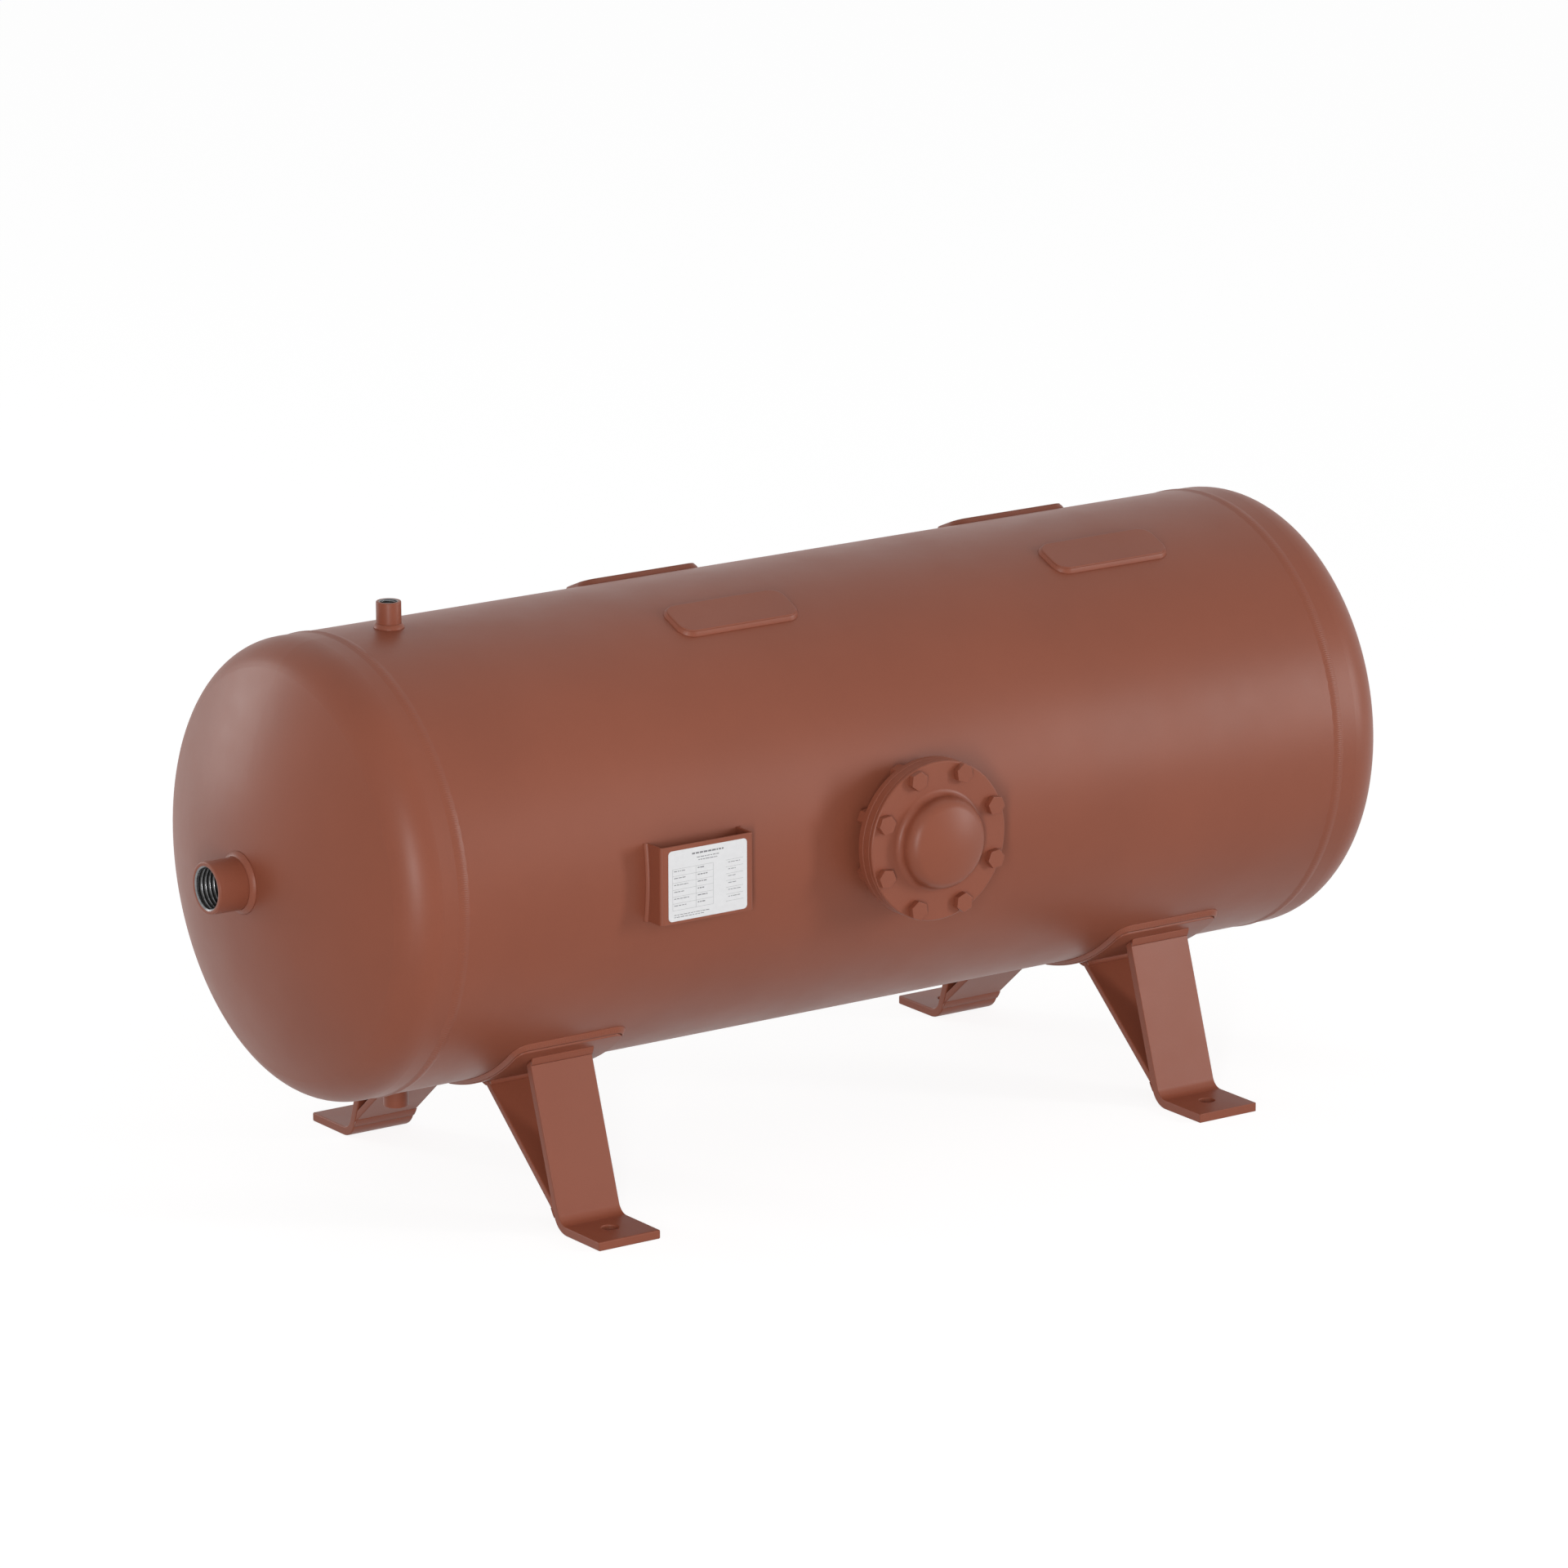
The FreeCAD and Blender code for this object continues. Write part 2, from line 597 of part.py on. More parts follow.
# ---------------------------------------------------------------- nameplate
def make_bracket():
    """A U of bent sheet whose sides run back to the shell, its two fillets and its label."""
    face = "(shell_radius + bracket_stand)"
    back = "(shell_radius - bracket_height/2)"
    half = "bracket_width/2"
    bend = "bracket_bend"
    inner_bend = "(bracket_bend - bracket_sheet)"
    bracket = new_body("nameplate_bracket")
    sketch = new_sketch(bracket, "XZ_Plane")
    outline(sketch, [
        ("-" + half, back),
        ("-%s + bracket_sheet" % half, back),
        ("-%s + bracket_sheet" % half, "%s - %s" % (face, bend), inner_bend, -1),
        ("-%s + %s" % (half, bend), "%s - bracket_sheet" % face),
        ("%s - %s" % (half, bend), "%s - bracket_sheet" % face, inner_bend, -1),
        ("%s - bracket_sheet" % half, "%s - %s" % (face, bend)),
        ("%s - bracket_sheet" % half, back),
        (half, back),
        (half, "%s - %s" % (face, bend), bend, 1),
        ("%s - %s" % (half, bend), face),
        ("-%s + %s" % (half, bend), face, bend, 1),
        ("-" + half, "%s - %s" % (face, bend)),
    ])
    pad(bracket, sketch, "bracket_height", both_ways=True)
    cut_cylinder(bracket, "shell_radius")
    seat(bracket, "bracket_x", "90")

    welds = new_body("nameplate_bracket_welds")
    for sign in ("-", ""):
        bead = new_sketch(welds, "XY_Plane")
        across = "%s%s" % (sign, half)
        toe = "%s(%s + bracket_weld)" % (sign, half)
        left, right = (toe, across) if sign else (across, toe)
        outline(bead, [
            (left, "-bracket_height/2"),
            (right, "-bracket_height/2"),
            (right, "bracket_height/2"),
            (left, "bracket_height/2"),
        ])
        pad(welds, bead, "shell_radius + 2*bracket_weld")
    cut_cylinder(welds, "shell_radius")
    keep_cylinder(welds, "shell_radius + bracket_weld")
    seat(welds, "bracket_x", "90")

    label = new_body("nameplate_label")
    sheet_outline = new_sketch(label, "XY_Plane")
    lift(sheet_outline, face)
    rounded_box(sheet_outline, "label_width", "label_height", "label_corner")
    pad(label, sheet_outline, "label_thickness")
    seat(label, "bracket_x", "90")
    bind(label, "Placement.Base.z", "axis_height - label_drop")


# ---------------------------------------------------------------- pads, saddles and legs
CORNERS = [
    (row + "_" + side, axis, sign)
    for row, axis in (("front", ALONG_X), ("rear", AGAINST_X))
    for side, sign in (("left", "-"), ("right", ""))
]


def make_mount_pad(corner, axis):
    """A flat plate that rests along the top of the shell, and the fillet round it."""
    x = "pad_left_x" if corner.endswith("left") else "pad_right_x"
    plate = new_body("mount_pad_" + corner)
    sketch = new_sketch(plate, "XY_Plane")
    lift(sketch, "shell_radius")
    rounded_box(sketch, "pad_length", "pad_width", "pad_corner")
    pad(plate, sketch, "pad_thickness")
    seat(plate, x, "pad_tilt", axis)
    fillet = new_body("mount_pad_weld_" + corner)
    sketch = new_sketch(fillet, "XY_Plane")
    lift(sketch, "shell_radius - pad_thickness")
    rounded_box(sketch, "pad_length + 2*pad_weld", "pad_width + 2*pad_weld", "pad_corner + pad_weld")
    rounded_box(sketch, "pad_length", "pad_width", "pad_corner")
    pad(fillet, sketch, "2*pad_thickness - pad_thickness/4")
    cut_cylinder(fillet, "shell_radius")
    seat(fillet, x, "pad_tilt", axis)


def make_saddle(corner, axis):
    """A curved plate on the shell that spreads the load of one leg, and the bead round it."""
    x = "saddle_left_x" if corner.endswith("left") else "saddle_right_x"
    outside = "(shell_radius + saddle_thickness)"
    width = "2*%s*sin(saddle_half_angle)" % outside
    plate = new_body("saddle_pad_" + corner)
    sketch = new_sketch(plate, "XY_Plane")
    rounded_box(sketch, "saddle_length", width, "saddle_corner")
    pad(plate, sketch, outside)
    cut_cylinder(plate, "shell_radius")
    keep_cylinder(plate, outside)
    seat(plate, x, "saddle_turn", axis)
    bead = new_body("saddle_weld_" + corner)
    sketch = new_sketch(bead, "XY_Plane")
    wide = "%s + 2*saddle_weld" % width
    rounded_box(sketch, "saddle_length + 2*saddle_weld", wide, "saddle_corner + saddle_weld")
    rounded_box(sketch, "saddle_length", width, "saddle_corner")
    pad(bead, sketch, outside)
    cut_cylinder(bead, "shell_radius")
    keep_cylinder(bead, "shell_radius + saddle_thickness*3/4")
    seat(bead, x, "saddle_turn", axis)


def point_on(start, lean, distance):
    """A point along a bar that leans inwards as it rises: (out, height)."""
    out, height = start
    return ("(%s - (%s)*sin(%s))" % (out, distance, lean), "(%s + (%s)*cos(%s))" % (height, distance, lean))


def beside(start, lean, distance):
    """A point square off such a bar, on its outer, upper side."""
    out, height = start
    return ("(%s + (%s)*cos(%s))" % (out, distance, lean), "(%s + (%s)*sin(%s))" % (height, distance, lean))


def run_to_middle(start, lean):
    """How far along such a bar the tank's axis is nearest."""
    return "((%s)*sin(%s) + (axis_height - (%s))*cos(%s))" % (start[0], lean, start[1], lean)


def run_to_saddle(start, lean):
    """How far along such a bar its line meets the outside of the saddle."""
    offset = "((%s)*cos(%s) - (axis_height - (%s))*sin(%s))" % (start[0], lean, start[1], lean)
    return "(%s - sqrt((shell_radius + saddle_thickness)^2 - %s^2))" % (run_to_middle(start, lean), offset)


# the corner where the outer face of the leg would meet the top of the foot
HEEL = ("(foot_bolt_y - foot_heel)", "leg_thickness")
# the leg's inner face where it would meet the floor
INSTEP = ("(%s - leg_thickness*tan(45 - leg_lean/2))" % HEEL[0], "0")
# the lower edge of the brace on the inner face of the leg
BRACE_FOOT = point_on(INSTEP, "leg_lean", "brace_rise/cos(leg_lean)")
BRACE_TOP_EDGE = point_on(BRACE_FOOT, "leg_lean", "brace_thickness/sin(brace_lean - leg_lean)")


def bar_body(label, corners):
    """A flat bar seen from its edge, as wide as a leg; its upper end follows the saddle."""
    body = new_body(label)
    sketch = new_sketch(body, "YZ_Plane")
    outline(sketch, corners)
    pad(body, sketch, "leg_width", both_ways=True)
    return body


def trim_to_saddle(body):
    sketch = new_sketch(body, "YZ_Plane")
    circle(sketch, "shell_radius + saddle_thickness", "0", "axis_height")
    pocket(body, sketch)


def stand(body, corner, sign):
    """Moves a piece of a leg to its corner. It is drawn for the rear side, where out is +Y."""
    bind(body, "Placement.Base.x", sign + "leg_x")
    if corner.startswith("front"):
        half_turn = FreeCAD.Rotation(FreeCAD.Vector(0, 0, 1), 180)
        body.Placement = FreeCAD.Placement(body.Placement.Base, half_turn)


def make_leg(corner, sign):
    """One bent bar: the foot with its bolt hole, the bend and the leaning leg."""
    bend_run = "leg_bend*tan(45 - leg_lean/2)"
    back_run = "(leg_bend + leg_thickness)*tan(45 - leg_lean/2)"
    toe = "(foot_bolt_y + foot_toe)"
    body = bar_body("leg_" + corner, [
        ("%s + %s" % (INSTEP[0], back_run), "0"),
        (toe, "0"),
        (toe, "leg_thickness"),
        ("%s + %s" % (HEEL[0], bend_run), "leg_thickness", "leg_bend", -1),
        point_on(HEEL, "leg_lean", bend_run),
        point_on(HEEL, "leg_lean", run_to_middle(HEEL, "leg_lean")),
        point_on(INSTEP, "leg_lean", run_to_middle(INSTEP, "leg_lean")),
        point_on(INSTEP, "leg_lean", back_run) + ("leg_bend + leg_thickness", 1),
    ])
    trim_to_saddle(body)
    hole = new_sketch(body, "XY_Plane")
    circle(hole, "foot_hole_radius", "0", "foot_bolt_y")
    pocket(body, hole)
    stand(body, corner, sign)


def make_brace(corner, sign):
    """The straight bar from the inner face of the leg up to the saddle."""
    far = run_to_middle(BRACE_FOOT, "brace_lean")
    body = bar_body("brace_" + corner, [
        BRACE_FOOT,
        BRACE_TOP_EDGE,
        beside(point_on(BRACE_FOOT, "brace_lean", far), "brace_lean", "brace_thickness"),
        point_on(BRACE_FOOT, "brace_lean", far),
    ])
    trim_to_saddle(body)
    stand(body, corner, sign)


def make_leg_welds(corner, sign):
    """Fillets: leg to saddle on the outside, brace to saddle on both sides, brace to leg underneath."""
    body = new_body("leg_weld_" + corner)

    def bead(root, along, across):
        sketch = new_sketch(body, "YZ_Plane")
        outline(sketch, [root, along, across])
        pad(body, sketch, "leg_width", both_ways=True)

    leg = "leg_weld_leg"
    for start, lean, side in (
        (HEEL, "leg_lean", "1.2*"),
        (BRACE_FOOT, "brace_lean", "-1.2*"),
        (BRACE_TOP_EDGE, "brace_lean", "1.2*"),
    ):
        run = run_to_saddle(start, lean)
        low = point_on(start, lean, "%s - %s" % (run, leg))
        deep = point_on(start, lean, "%s + %s" % (run, leg))
        bead(low, beside(point_on(start, lean, run), lean, side + leg), deep)
    trim_to_saddle(body)
    bead(BRACE_FOOT, point_on(BRACE_FOOT, "brace_lean", leg), point_on(BRACE_FOOT, "leg_lean", "-" + leg))
    stand(body, corner, sign)


# ---------------------------------------------------------------- building and writing
def build():
    make_shell()
    make_shell_seam_weld()
    for side in ENDS:
        make_head(side)
        make_seam_weld(side)
        make_end_socket(side)
        make_end_socket_weld(side)
    make_small_socket("top_socket", "0")
    make_small_socket("bottom_socket", "180")
    make_neck()
    make_flange()
    make_cover()
    make_bolts()
    make_bracket()
    for corner, axis, sign in CORNERS:
        make_mount_pad(corner, axis)
        make_saddle(corner, axis)
        make_leg(corner, sign)
        make_brace(corner, sign)
        make_leg_welds(corner, sign)
    doc.recompute()


def check():
    """Stops at the first object that failed and at the first piece that isn't sound."""
    for thing in doc.Objects:
        if "Invalid" in thing.State or "Error" in thing.State:
            raise RuntimeError("%s failed: %s" % (thing.Label, thing.State))
    for body in doc.findObjects("PartDesign::Body"):
        if body.Shape.isNull() or not body.Shape.isValid() or not body.Shape.Solids:
            raise RuntimeError(body.Label + " isn't a sound solid")


def write():
    os.makedirs("parts", exist_ok=True)
    for body in doc.findObjects("PartDesign::Body"):
        body.Shape.exportStep(os.path.join("parts", body.Label + ".step"))
        print("%-28s %2d solid(s) %12.1f mm3" % (body.Label, len(body.Shape.Solids), body.Shape.Volume))


build()
check()
write()
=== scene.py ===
# %% [markdown]
# # An air receiver tank
# The CAD model gives every piece its size and place. This lesson gives the pieces their looks: a coat of
# matt red-brown primer over rolled plate, weld beads with ripples, real threads in the ports and a plain
# printed label. Everything is in metres; X runs along the tank, -Y is the handhole side, +Z is up.

# %% Load the fixed frame and keep its size
import math
import random

import bmesh
import bpy
import numpy as np
from mathutils import Matrix, Vector


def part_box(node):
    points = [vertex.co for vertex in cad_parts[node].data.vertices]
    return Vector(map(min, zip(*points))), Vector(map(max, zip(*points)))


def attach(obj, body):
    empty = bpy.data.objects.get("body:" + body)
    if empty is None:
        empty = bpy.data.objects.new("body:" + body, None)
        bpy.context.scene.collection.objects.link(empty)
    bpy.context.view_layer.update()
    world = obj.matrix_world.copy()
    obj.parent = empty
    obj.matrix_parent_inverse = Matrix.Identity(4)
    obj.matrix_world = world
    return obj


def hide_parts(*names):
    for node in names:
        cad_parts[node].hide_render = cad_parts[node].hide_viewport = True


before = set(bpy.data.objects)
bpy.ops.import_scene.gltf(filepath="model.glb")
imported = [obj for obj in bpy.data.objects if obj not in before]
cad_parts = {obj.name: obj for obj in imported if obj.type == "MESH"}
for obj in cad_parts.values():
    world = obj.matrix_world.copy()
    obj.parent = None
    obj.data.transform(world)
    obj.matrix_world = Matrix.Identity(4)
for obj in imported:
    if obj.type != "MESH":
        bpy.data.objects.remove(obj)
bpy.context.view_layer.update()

print("pieces in the frame:", len(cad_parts))

# %% [markdown]
# ## Measures
# Positions are read from the frame wherever a box gives them, and the few sizes that a box can't give, such
# as the lean of a leg, are named beside their piece. The shell's own box gives the radius of the tank and
# the height of its axis, which nearly every bead needs.

# %% Measure the vessel
MM = 0.001


def corners(node):
    low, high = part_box(node)
    return Vector(low), Vector(high)


def middle(node):
    low, high = corners(node)
    return (low + high) / 2


def extent(node):
    low, high = corners(node)
    return high - low


SHELL_RADIUS = corners("shell")[1].z - middle("shell").z
AXIS = Vector((0, 0, middle("shell").z))
SEAM_X = corners("shell")[1].x
print("shell radius", round(SHELL_RADIUS, 4), "axis height", round(AXIS.z, 4), "seam at", round(SEAM_X, 4))

# %% [markdown]
# ## The camera
# A long lens from the left front, a little above the tank, keeps the tank's long lines nearly parallel. The
# camera is turned by building its three directions, which also allows the very small roll of the view.

# %% Place the camera
CAMERA_PLACE = Vector((-5.2164, -7.5239, 2.8177))
CAMERA_TARGET = Vector((0, 0, 0.381))
CAMERA_LENS = 198.18
CAMERA_ROLL = math.radians(-0.155)


def make_camera():
    data = bpy.data.cameras.new("camera")
    data.lens = CAMERA_LENS
    data.sensor_width = 36.0
    data.clip_end = 60.0
    camera = bpy.data.objects.new("camera", data)
    bpy.context.collection.objects.link(camera)
    forward = (CAMERA_TARGET - CAMERA_PLACE).normalized()
    level = forward.cross(Vector((0, 0, 1))).normalized()
    above = level.cross(forward)
    right = level * math.cos(CAMERA_ROLL) + above * math.sin(CAMERA_ROLL)
    up = above * math.cos(CAMERA_ROLL) - level * math.sin(CAMERA_ROLL)
    turn = Matrix((right, up, -forward)).transposed()
    camera.matrix_world = Matrix.Translation(CAMERA_PLACE) @ turn.to_4x4()
    bpy.context.scene.camera = camera
    return camera


camera = make_camera()
print("camera stands", round((CAMERA_TARGET - CAMERA_PLACE).length, 2), "m away")

# %% [markdown]
# ## A small kit for node materials
# A material here is a shader with a few textures in front of it. The helpers add nodes and join them, so
# that each finish below reads as a short list of what it is made of.

# %% Helpers for node materials
def new_material(name, roughness, metallic=0.0):
    material = bpy.data.materials.new(name)
    material.use_nodes = True
    shader = material.node_tree.nodes["Principled BSDF"]
    shader.inputs["Roughness"].default_value = roughness
    shader.inputs["Metallic"].default_value = metallic
    return material, material.node_tree, shader


def add_node(tree, kind, **settings):
    node = tree.nodes.new(kind)
    for name, setting in settings.items():
        setattr(node, name, setting)
    return node


def noise(tree, scale, detail=3.0, roughness=0.5, stretch=(1, 1, 1)):
    """A noise texture in the piece's own space; stretch slows it down along an axis."""
    place = add_node(tree, "ShaderNodeTexCoord")
    mapping = add_node(tree, "ShaderNodeMapping")
    mapping.inputs["Scale"].default_value = stretch
    texture = add_node(tree, "ShaderNodeTexNoise")
    texture.inputs["Scale"].default_value = scale
    texture.inputs["Detail"].default_value = detail
    texture.inputs["Roughness"].default_value = roughness
    tree.links.new(place.outputs["Object"], mapping.inputs["Vector"])
    tree.links.new(mapping.outputs["Vector"], texture.inputs["Vector"])
    return texture.outputs["Fac"]


def spread(tree, signal, low, high, start=0.3, end=0.7):
    """Stretches a texture's middle range to run from low to high."""
    node = add_node(tree, "ShaderNodeMapRange")
    node.inputs["From Min"].default_value = start
    node.inputs["From Max"].default_value = end
    node.inputs["To Min"].default_value = low
    node.inputs["To Max"].default_value = high
    tree.links.new(signal, node.inputs["Value"])
    return node.outputs["Result"]


def blend_colours(tree, signal, first, second):
    """Runs from one colour to another as the signal goes from 0 to 1."""
    ramp = add_node(tree, "ShaderNodeValToRGB")
    ramp.color_ramp.elements[0].color = (*first, 1)
    ramp.color_ramp.elements[1].color = (*second, 1)
    tree.links.new(signal, ramp.inputs["Fac"])
    return ramp.outputs["Color"]


def multiply(tree, first, second):
    node = add_node(tree, "ShaderNodeMix", data_type="RGBA", blend_type="MULTIPLY")
    node.inputs["Factor"].default_value = 1.0
    tree.links.new(first, node.inputs["A"])
    tree.links.new(second, node.inputs["B"])
    return node.outputs["Result"]


def relief(tree, shader, layers):
    """Stacks bumps: each layer is (height signal, depth in metres)."""
    normal = None
    for height, depth in layers:
        bump = add_node(tree, "ShaderNodeBump")
        bump.inputs["Strength"].default_value = 1.0
        bump.inputs["Distance"].default_value = depth
        tree.links.new(height, bump.inputs["Height"])
        if normal:
            tree.links.new(normal, bump.inputs["Normal"])
        normal = bump.outputs["Normal"]
    tree.links.new(normal, shader.inputs["Normal"])


print("material helpers ready")

# %% [markdown]
# ## Red-brown primer
# Air receivers leave the works in a matt anti-rust primer. Sprayed primer is not one flat colour: the coat
# is a little thicker in places, the surface has a fine orange peel, and dust settles as a very fine grain.
# Two noises of different size carry the colour, one more carries the roughness, and two give the relief.

# %% The primer, in the variants that the pieces need
PRIMER_LIGHT = (0.298, 0.086, 0.047)
PRIMER_DARK = (0.268, 0.076, 0.041)


def make_primer(name, roughness, peel):
    material, tree, shader = new_material(name, roughness)
    coat = blend_colours(tree, spread(tree, noise(tree, 5.0, 4.0, 0.55), 0, 1), PRIMER_DARK, PRIMER_LIGHT)
    grain = blend_colours(tree, spread(tree, noise(tree, 900.0, 2.0), 0, 1), (0.95, 0.95, 0.95), (1, 1, 1))
    tree.links.new(multiply(tree, coat, grain), shader.inputs["Base Color"])
    patches = spread(tree, noise(tree, 14.0, 5.0, 0.6), roughness - 0.03, roughness + 0.03)
    tree.links.new(patches, shader.inputs["Roughness"])
    shader.inputs["Specular IOR Level"].default_value = 0.3
    relief(tree, shader, [(noise(tree, 260.0, 2.0), peel), (noise(tree, 1800.0, 2.0), peel / 4)])
    return material


primer_plate = make_primer("primer_on_plate", 0.42, 0.00003)
primer_weld = make_primer("primer_on_welds", 0.42, 0.00003)
primer_small = make_primer("primer_on_fasteners", 0.36, 0.00003)
print("primer variants:", primer_plate.name, primer_weld.name, primer_small.name)

# %% [markdown]
# ## Bare thread, rubber and label film
# The ports are masked while the tank is sprayed, so their threads stay dark bare steel with fine tool
# marks; their roots carry a near-black painted shade. The gasket is dull rubber. The label is a pale satin
# film, its print a soft grey.

# %% The other finishes
def make_thread_steel():
    material, tree, shader = new_material("bare_thread_steel", 0.3, 0.9)
    cutting = noise(tree, 220.0, 4.0, 0.6, (0.2, 1, 1))
    bare = blend_colours(tree, spread(tree, cutting, 0, 1), (0.16, 0.16, 0.165), (0.26, 0.26, 0.265))
    tree.links.new(bare, shader.inputs["Base Color"])
    tree.links.new(spread(tree, noise(tree, 90.0, 3.0), 0.24, 0.34), shader.inputs["Roughness"])
    relief(tree, shader, [(cutting, 0.00001)])
    return material


def make_gasket_rubber():
    material, tree, shader = new_material("gasket_rubber", 0.8)
    dust = spread(tree, noise(tree, 300.0, 3.0), 0, 1)
    tree.links.new(blend_colours(tree, dust, (0.05, 0.03, 0.025), (0.09, 0.05, 0.04)),
                   shader.inputs["Base Color"])
    relief(tree, shader, [(dust, 0.0001)])
    return material


def make_film(name, dark, light, roughness):
    material, tree, shader = new_material(name, roughness)
    fibre = spread(tree, noise(tree, 160.0, 4.0, 0.6), 0, 1)
    tree.links.new(blend_colours(tree, fibre, dark, light), shader.inputs["Base Color"])
    tree.links.new(spread(tree, noise(tree, 60.0, 2.0), roughness - 0.05, roughness + 0.05),
                   shader.inputs["Roughness"])
    relief(tree, shader, [(noise(tree, 900.0, 2.0), 0.000004)])
    return material


# Painted shade: a near-black material for the thread roots, standing in for the shade that falls deep in
# the grooves; a noise mottles it.
def make_thread_root_shade():
    material, tree, shader = new_material("painted_shade_in_thread_roots", 0.5)
    film = spread(tree, noise(tree, 120.0, 3.0), 0, 1)
    tree.links.new(blend_colours(tree, film, (0.006, 0.006, 0.006), (0.02, 0.018, 0.016)),
                   shader.inputs["Base Color"])
    relief(tree, shader, [(film, 0.00002)])
    return material


thread_steel = make_thread_steel()
thread_root_shade = make_thread_root_shade()
gasket_rubber = make_gasket_rubber()
label_film = make_film("label_film", (0.80, 0.80, 0.81), (0.84, 0.84, 0.85), 0.42)
label_ink = make_film("label_ink", (0.20, 0.20, 0.21), (0.26, 0.26, 0.27), 0.5)
label_rule = make_film("label_rule", (0.42, 0.42, 0.43), (0.48, 0.48, 0.49), 0.5)
print("finishes:", len(bpy.data.materials))

# %% [markdown]
# ## Give the CAD pieces their finish
# The plates, bars and fasteners already have their true shape, so they only change material.

# %% Finish every node of the frame
SHARP = math.radians(30)


def finish_for(node):
    if node in ("handhole_bolts", "handhole_nuts"):
        return primer_small
    if node == "handhole_gasket":
        return gasket_rubber
    if node == "nameplate_label":
        return label_film
    return primer_weld if "weld" in node else primer_plate


for node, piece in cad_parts.items():
    piece.data.materials.clear()
    piece.data.materials.append(finish_for(node))
print("finished nodes:", len(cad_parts))

# %% [markdown]
# ## Weld beads
# A bead is molten metal laid down in overlapping drops, so its crown is a row of small crescents. Each bead
# here is swept along three lines: its top edge, its toe and the root that it hides. Between edge and toe
# the surface bulges, and the bulge rises and falls along the bead, bending back at the sides like the
# real crescents. One function makes all of them; only the three lines differ.

# %% The sweep that makes a bead
RIPPLE_PITCH = 2.4 * MM
STATIONS_PER_RIPPLE = 5
ACROSS = 11
CRESCENT = 1.1
ROOT_DEPTH = 0.3 * MM


def piece_from(name, points, faces, material):
    """Makes a smooth shaded mesh piece of the object that rides on its only body."""
    mesh = bpy.data.meshes.new(name)
    mesh.from_pydata([tuple(point) for point in points], [], faces)
    mesh.validate()
    mesh.materials.append(material)
    piece = bpy.data.objects.new(name, mesh)
    bpy.context.collection.objects.link(piece)
    mesh.shade_smooth()
    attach(piece, "root")
    return piece


def bead_mesh(edge, toe, root, crown, closed, ripple, soft):
    """Points and faces of one bead; edge, toe and root are arrays of stations along it. A soft bead runs
    out flat at its sides, as a butt weld does; a hard one meets the plates at an angle."""
    edge, toe, root = (np.asarray(line, float) for line in (edge, toe, root))
    chord = (edge + toe) / 2
    outward = chord - root
    outward /= np.linalg.norm(outward, axis=1)[:, None]
    steps = np.linalg.norm(np.diff(chord, axis=0), axis=1)
    travel = np.concatenate([[0], np.cumsum(steps)])
    across = np.linspace(0, 1, ACROSS)
    phase = travel[:, None] / RIPPLE_PITCH + CRESCENT * (across[None, :] - 0.5) ** 2 * 4
    height = crown * (1 - ripple * (0.5 + 0.5 * np.cos(2 * math.pi * phase)))
    bulge = np.sin(math.pi * across) ** 2 if soft else 4 * across * (1 - across)
    surface = (edge[:, None] * (1 - across)[None, :, None] + toe[:, None] * across[None, :, None]
               + outward[:, None] * (height * bulge[None, :])[..., None])
    count = len(edge)
    rows = ACROSS + 1
    points = np.concatenate([surface, root[:, None]], axis=1).reshape(-1, 3)
    faces = []
    for station in range(count if closed else count - 1):
        following = (station + 1) % count
        for row in range(rows):
            beside = (row + 1) % rows
            faces.append((station * rows + row, station * rows + beside,
                          following * rows + beside, following * rows + row))
    if not closed:
        faces.append(tuple(range(rows))[::-1])
        faces.append(tuple((count - 1) * rows + row for row in range(rows)))
    return points, faces


def make_bead(name, runs, crown, node, ripple=0.35, soft=False):
    """Builds one piece from one or more runs of weld and lets it stand for its CAD node."""
    points, faces = [], []
    for edge, toe, root, closed in runs:
        new_points, new_faces = bead_mesh(edge, toe, root, crown, closed, ripple, soft)
        shift = len(points)
        points.extend(new_points)
        faces.extend(tuple(shift + index for index in face) for face in new_faces)
    piece = piece_from(name, points, faces, primer_weld)
    outward_faces(piece)
    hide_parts(node)
    return piece


def outward_faces(piece):
    bpy.context.view_layer.objects.active = piece
    piece.select_set(True)
    bpy.ops.object.mode_set(mode="EDIT")
    bpy.ops.mesh.select_all(action="SELECT")
    bpy.ops.mesh.normals_make_consistent(inside=False)
    bpy.ops.object.mode_set(mode="OBJECT")
    piece.select_set(False)


def stations_for(length):
    return max(int(round(length / RIPPLE_PITCH)) * STATIONS_PER_RIPPLE, 8)


print("bead sweep ready, pitch", RIPPLE_PITCH)

# %% [markdown]
# ## Head seams and the shell's own seam
# The heads are butt welded to the shell, so the two seams are rings of low, wide bead. Their crown stays
# under the height that the CAD bead stands proud. The shell's own seam is such a bead laid along a line.

# %% Lay the butt welds
def around_tank(x, radius, angles):
    """Points of a ring round the tank's axis."""
    return np.stack([np.full_like(angles, x), radius * np.sin(angles),
                     AXIS.z + radius * np.cos(angles)], axis=1)


SEAM_PROUD = corners("seam_weld_left")[1].z - AXIS.z - SHELL_RADIUS
SEAM_HALF = extent("seam_weld_left").x / 2
SUNK = 0.25 * MM
BUTT_ROOT = 1 * MM
turn = np.linspace(0, 2 * math.pi, stations_for(2 * math.pi * SHELL_RADIUS), endpoint=False)
for side, sign in (("left", -1), ("right", 1)):
    run = (around_tank(sign * SEAM_X - SEAM_HALF, SHELL_RADIUS - SUNK, turn),
           around_tank(sign * SEAM_X + SEAM_HALF, SHELL_RADIUS - SUNK, turn),
           around_tank(sign * SEAM_X, SHELL_RADIUS - BUTT_ROOT, turn), True)
    make_bead("seam_bead_" + side, [run], 0.75 * SEAM_PROUD, "seam_weld_" + side, 0.25, True)

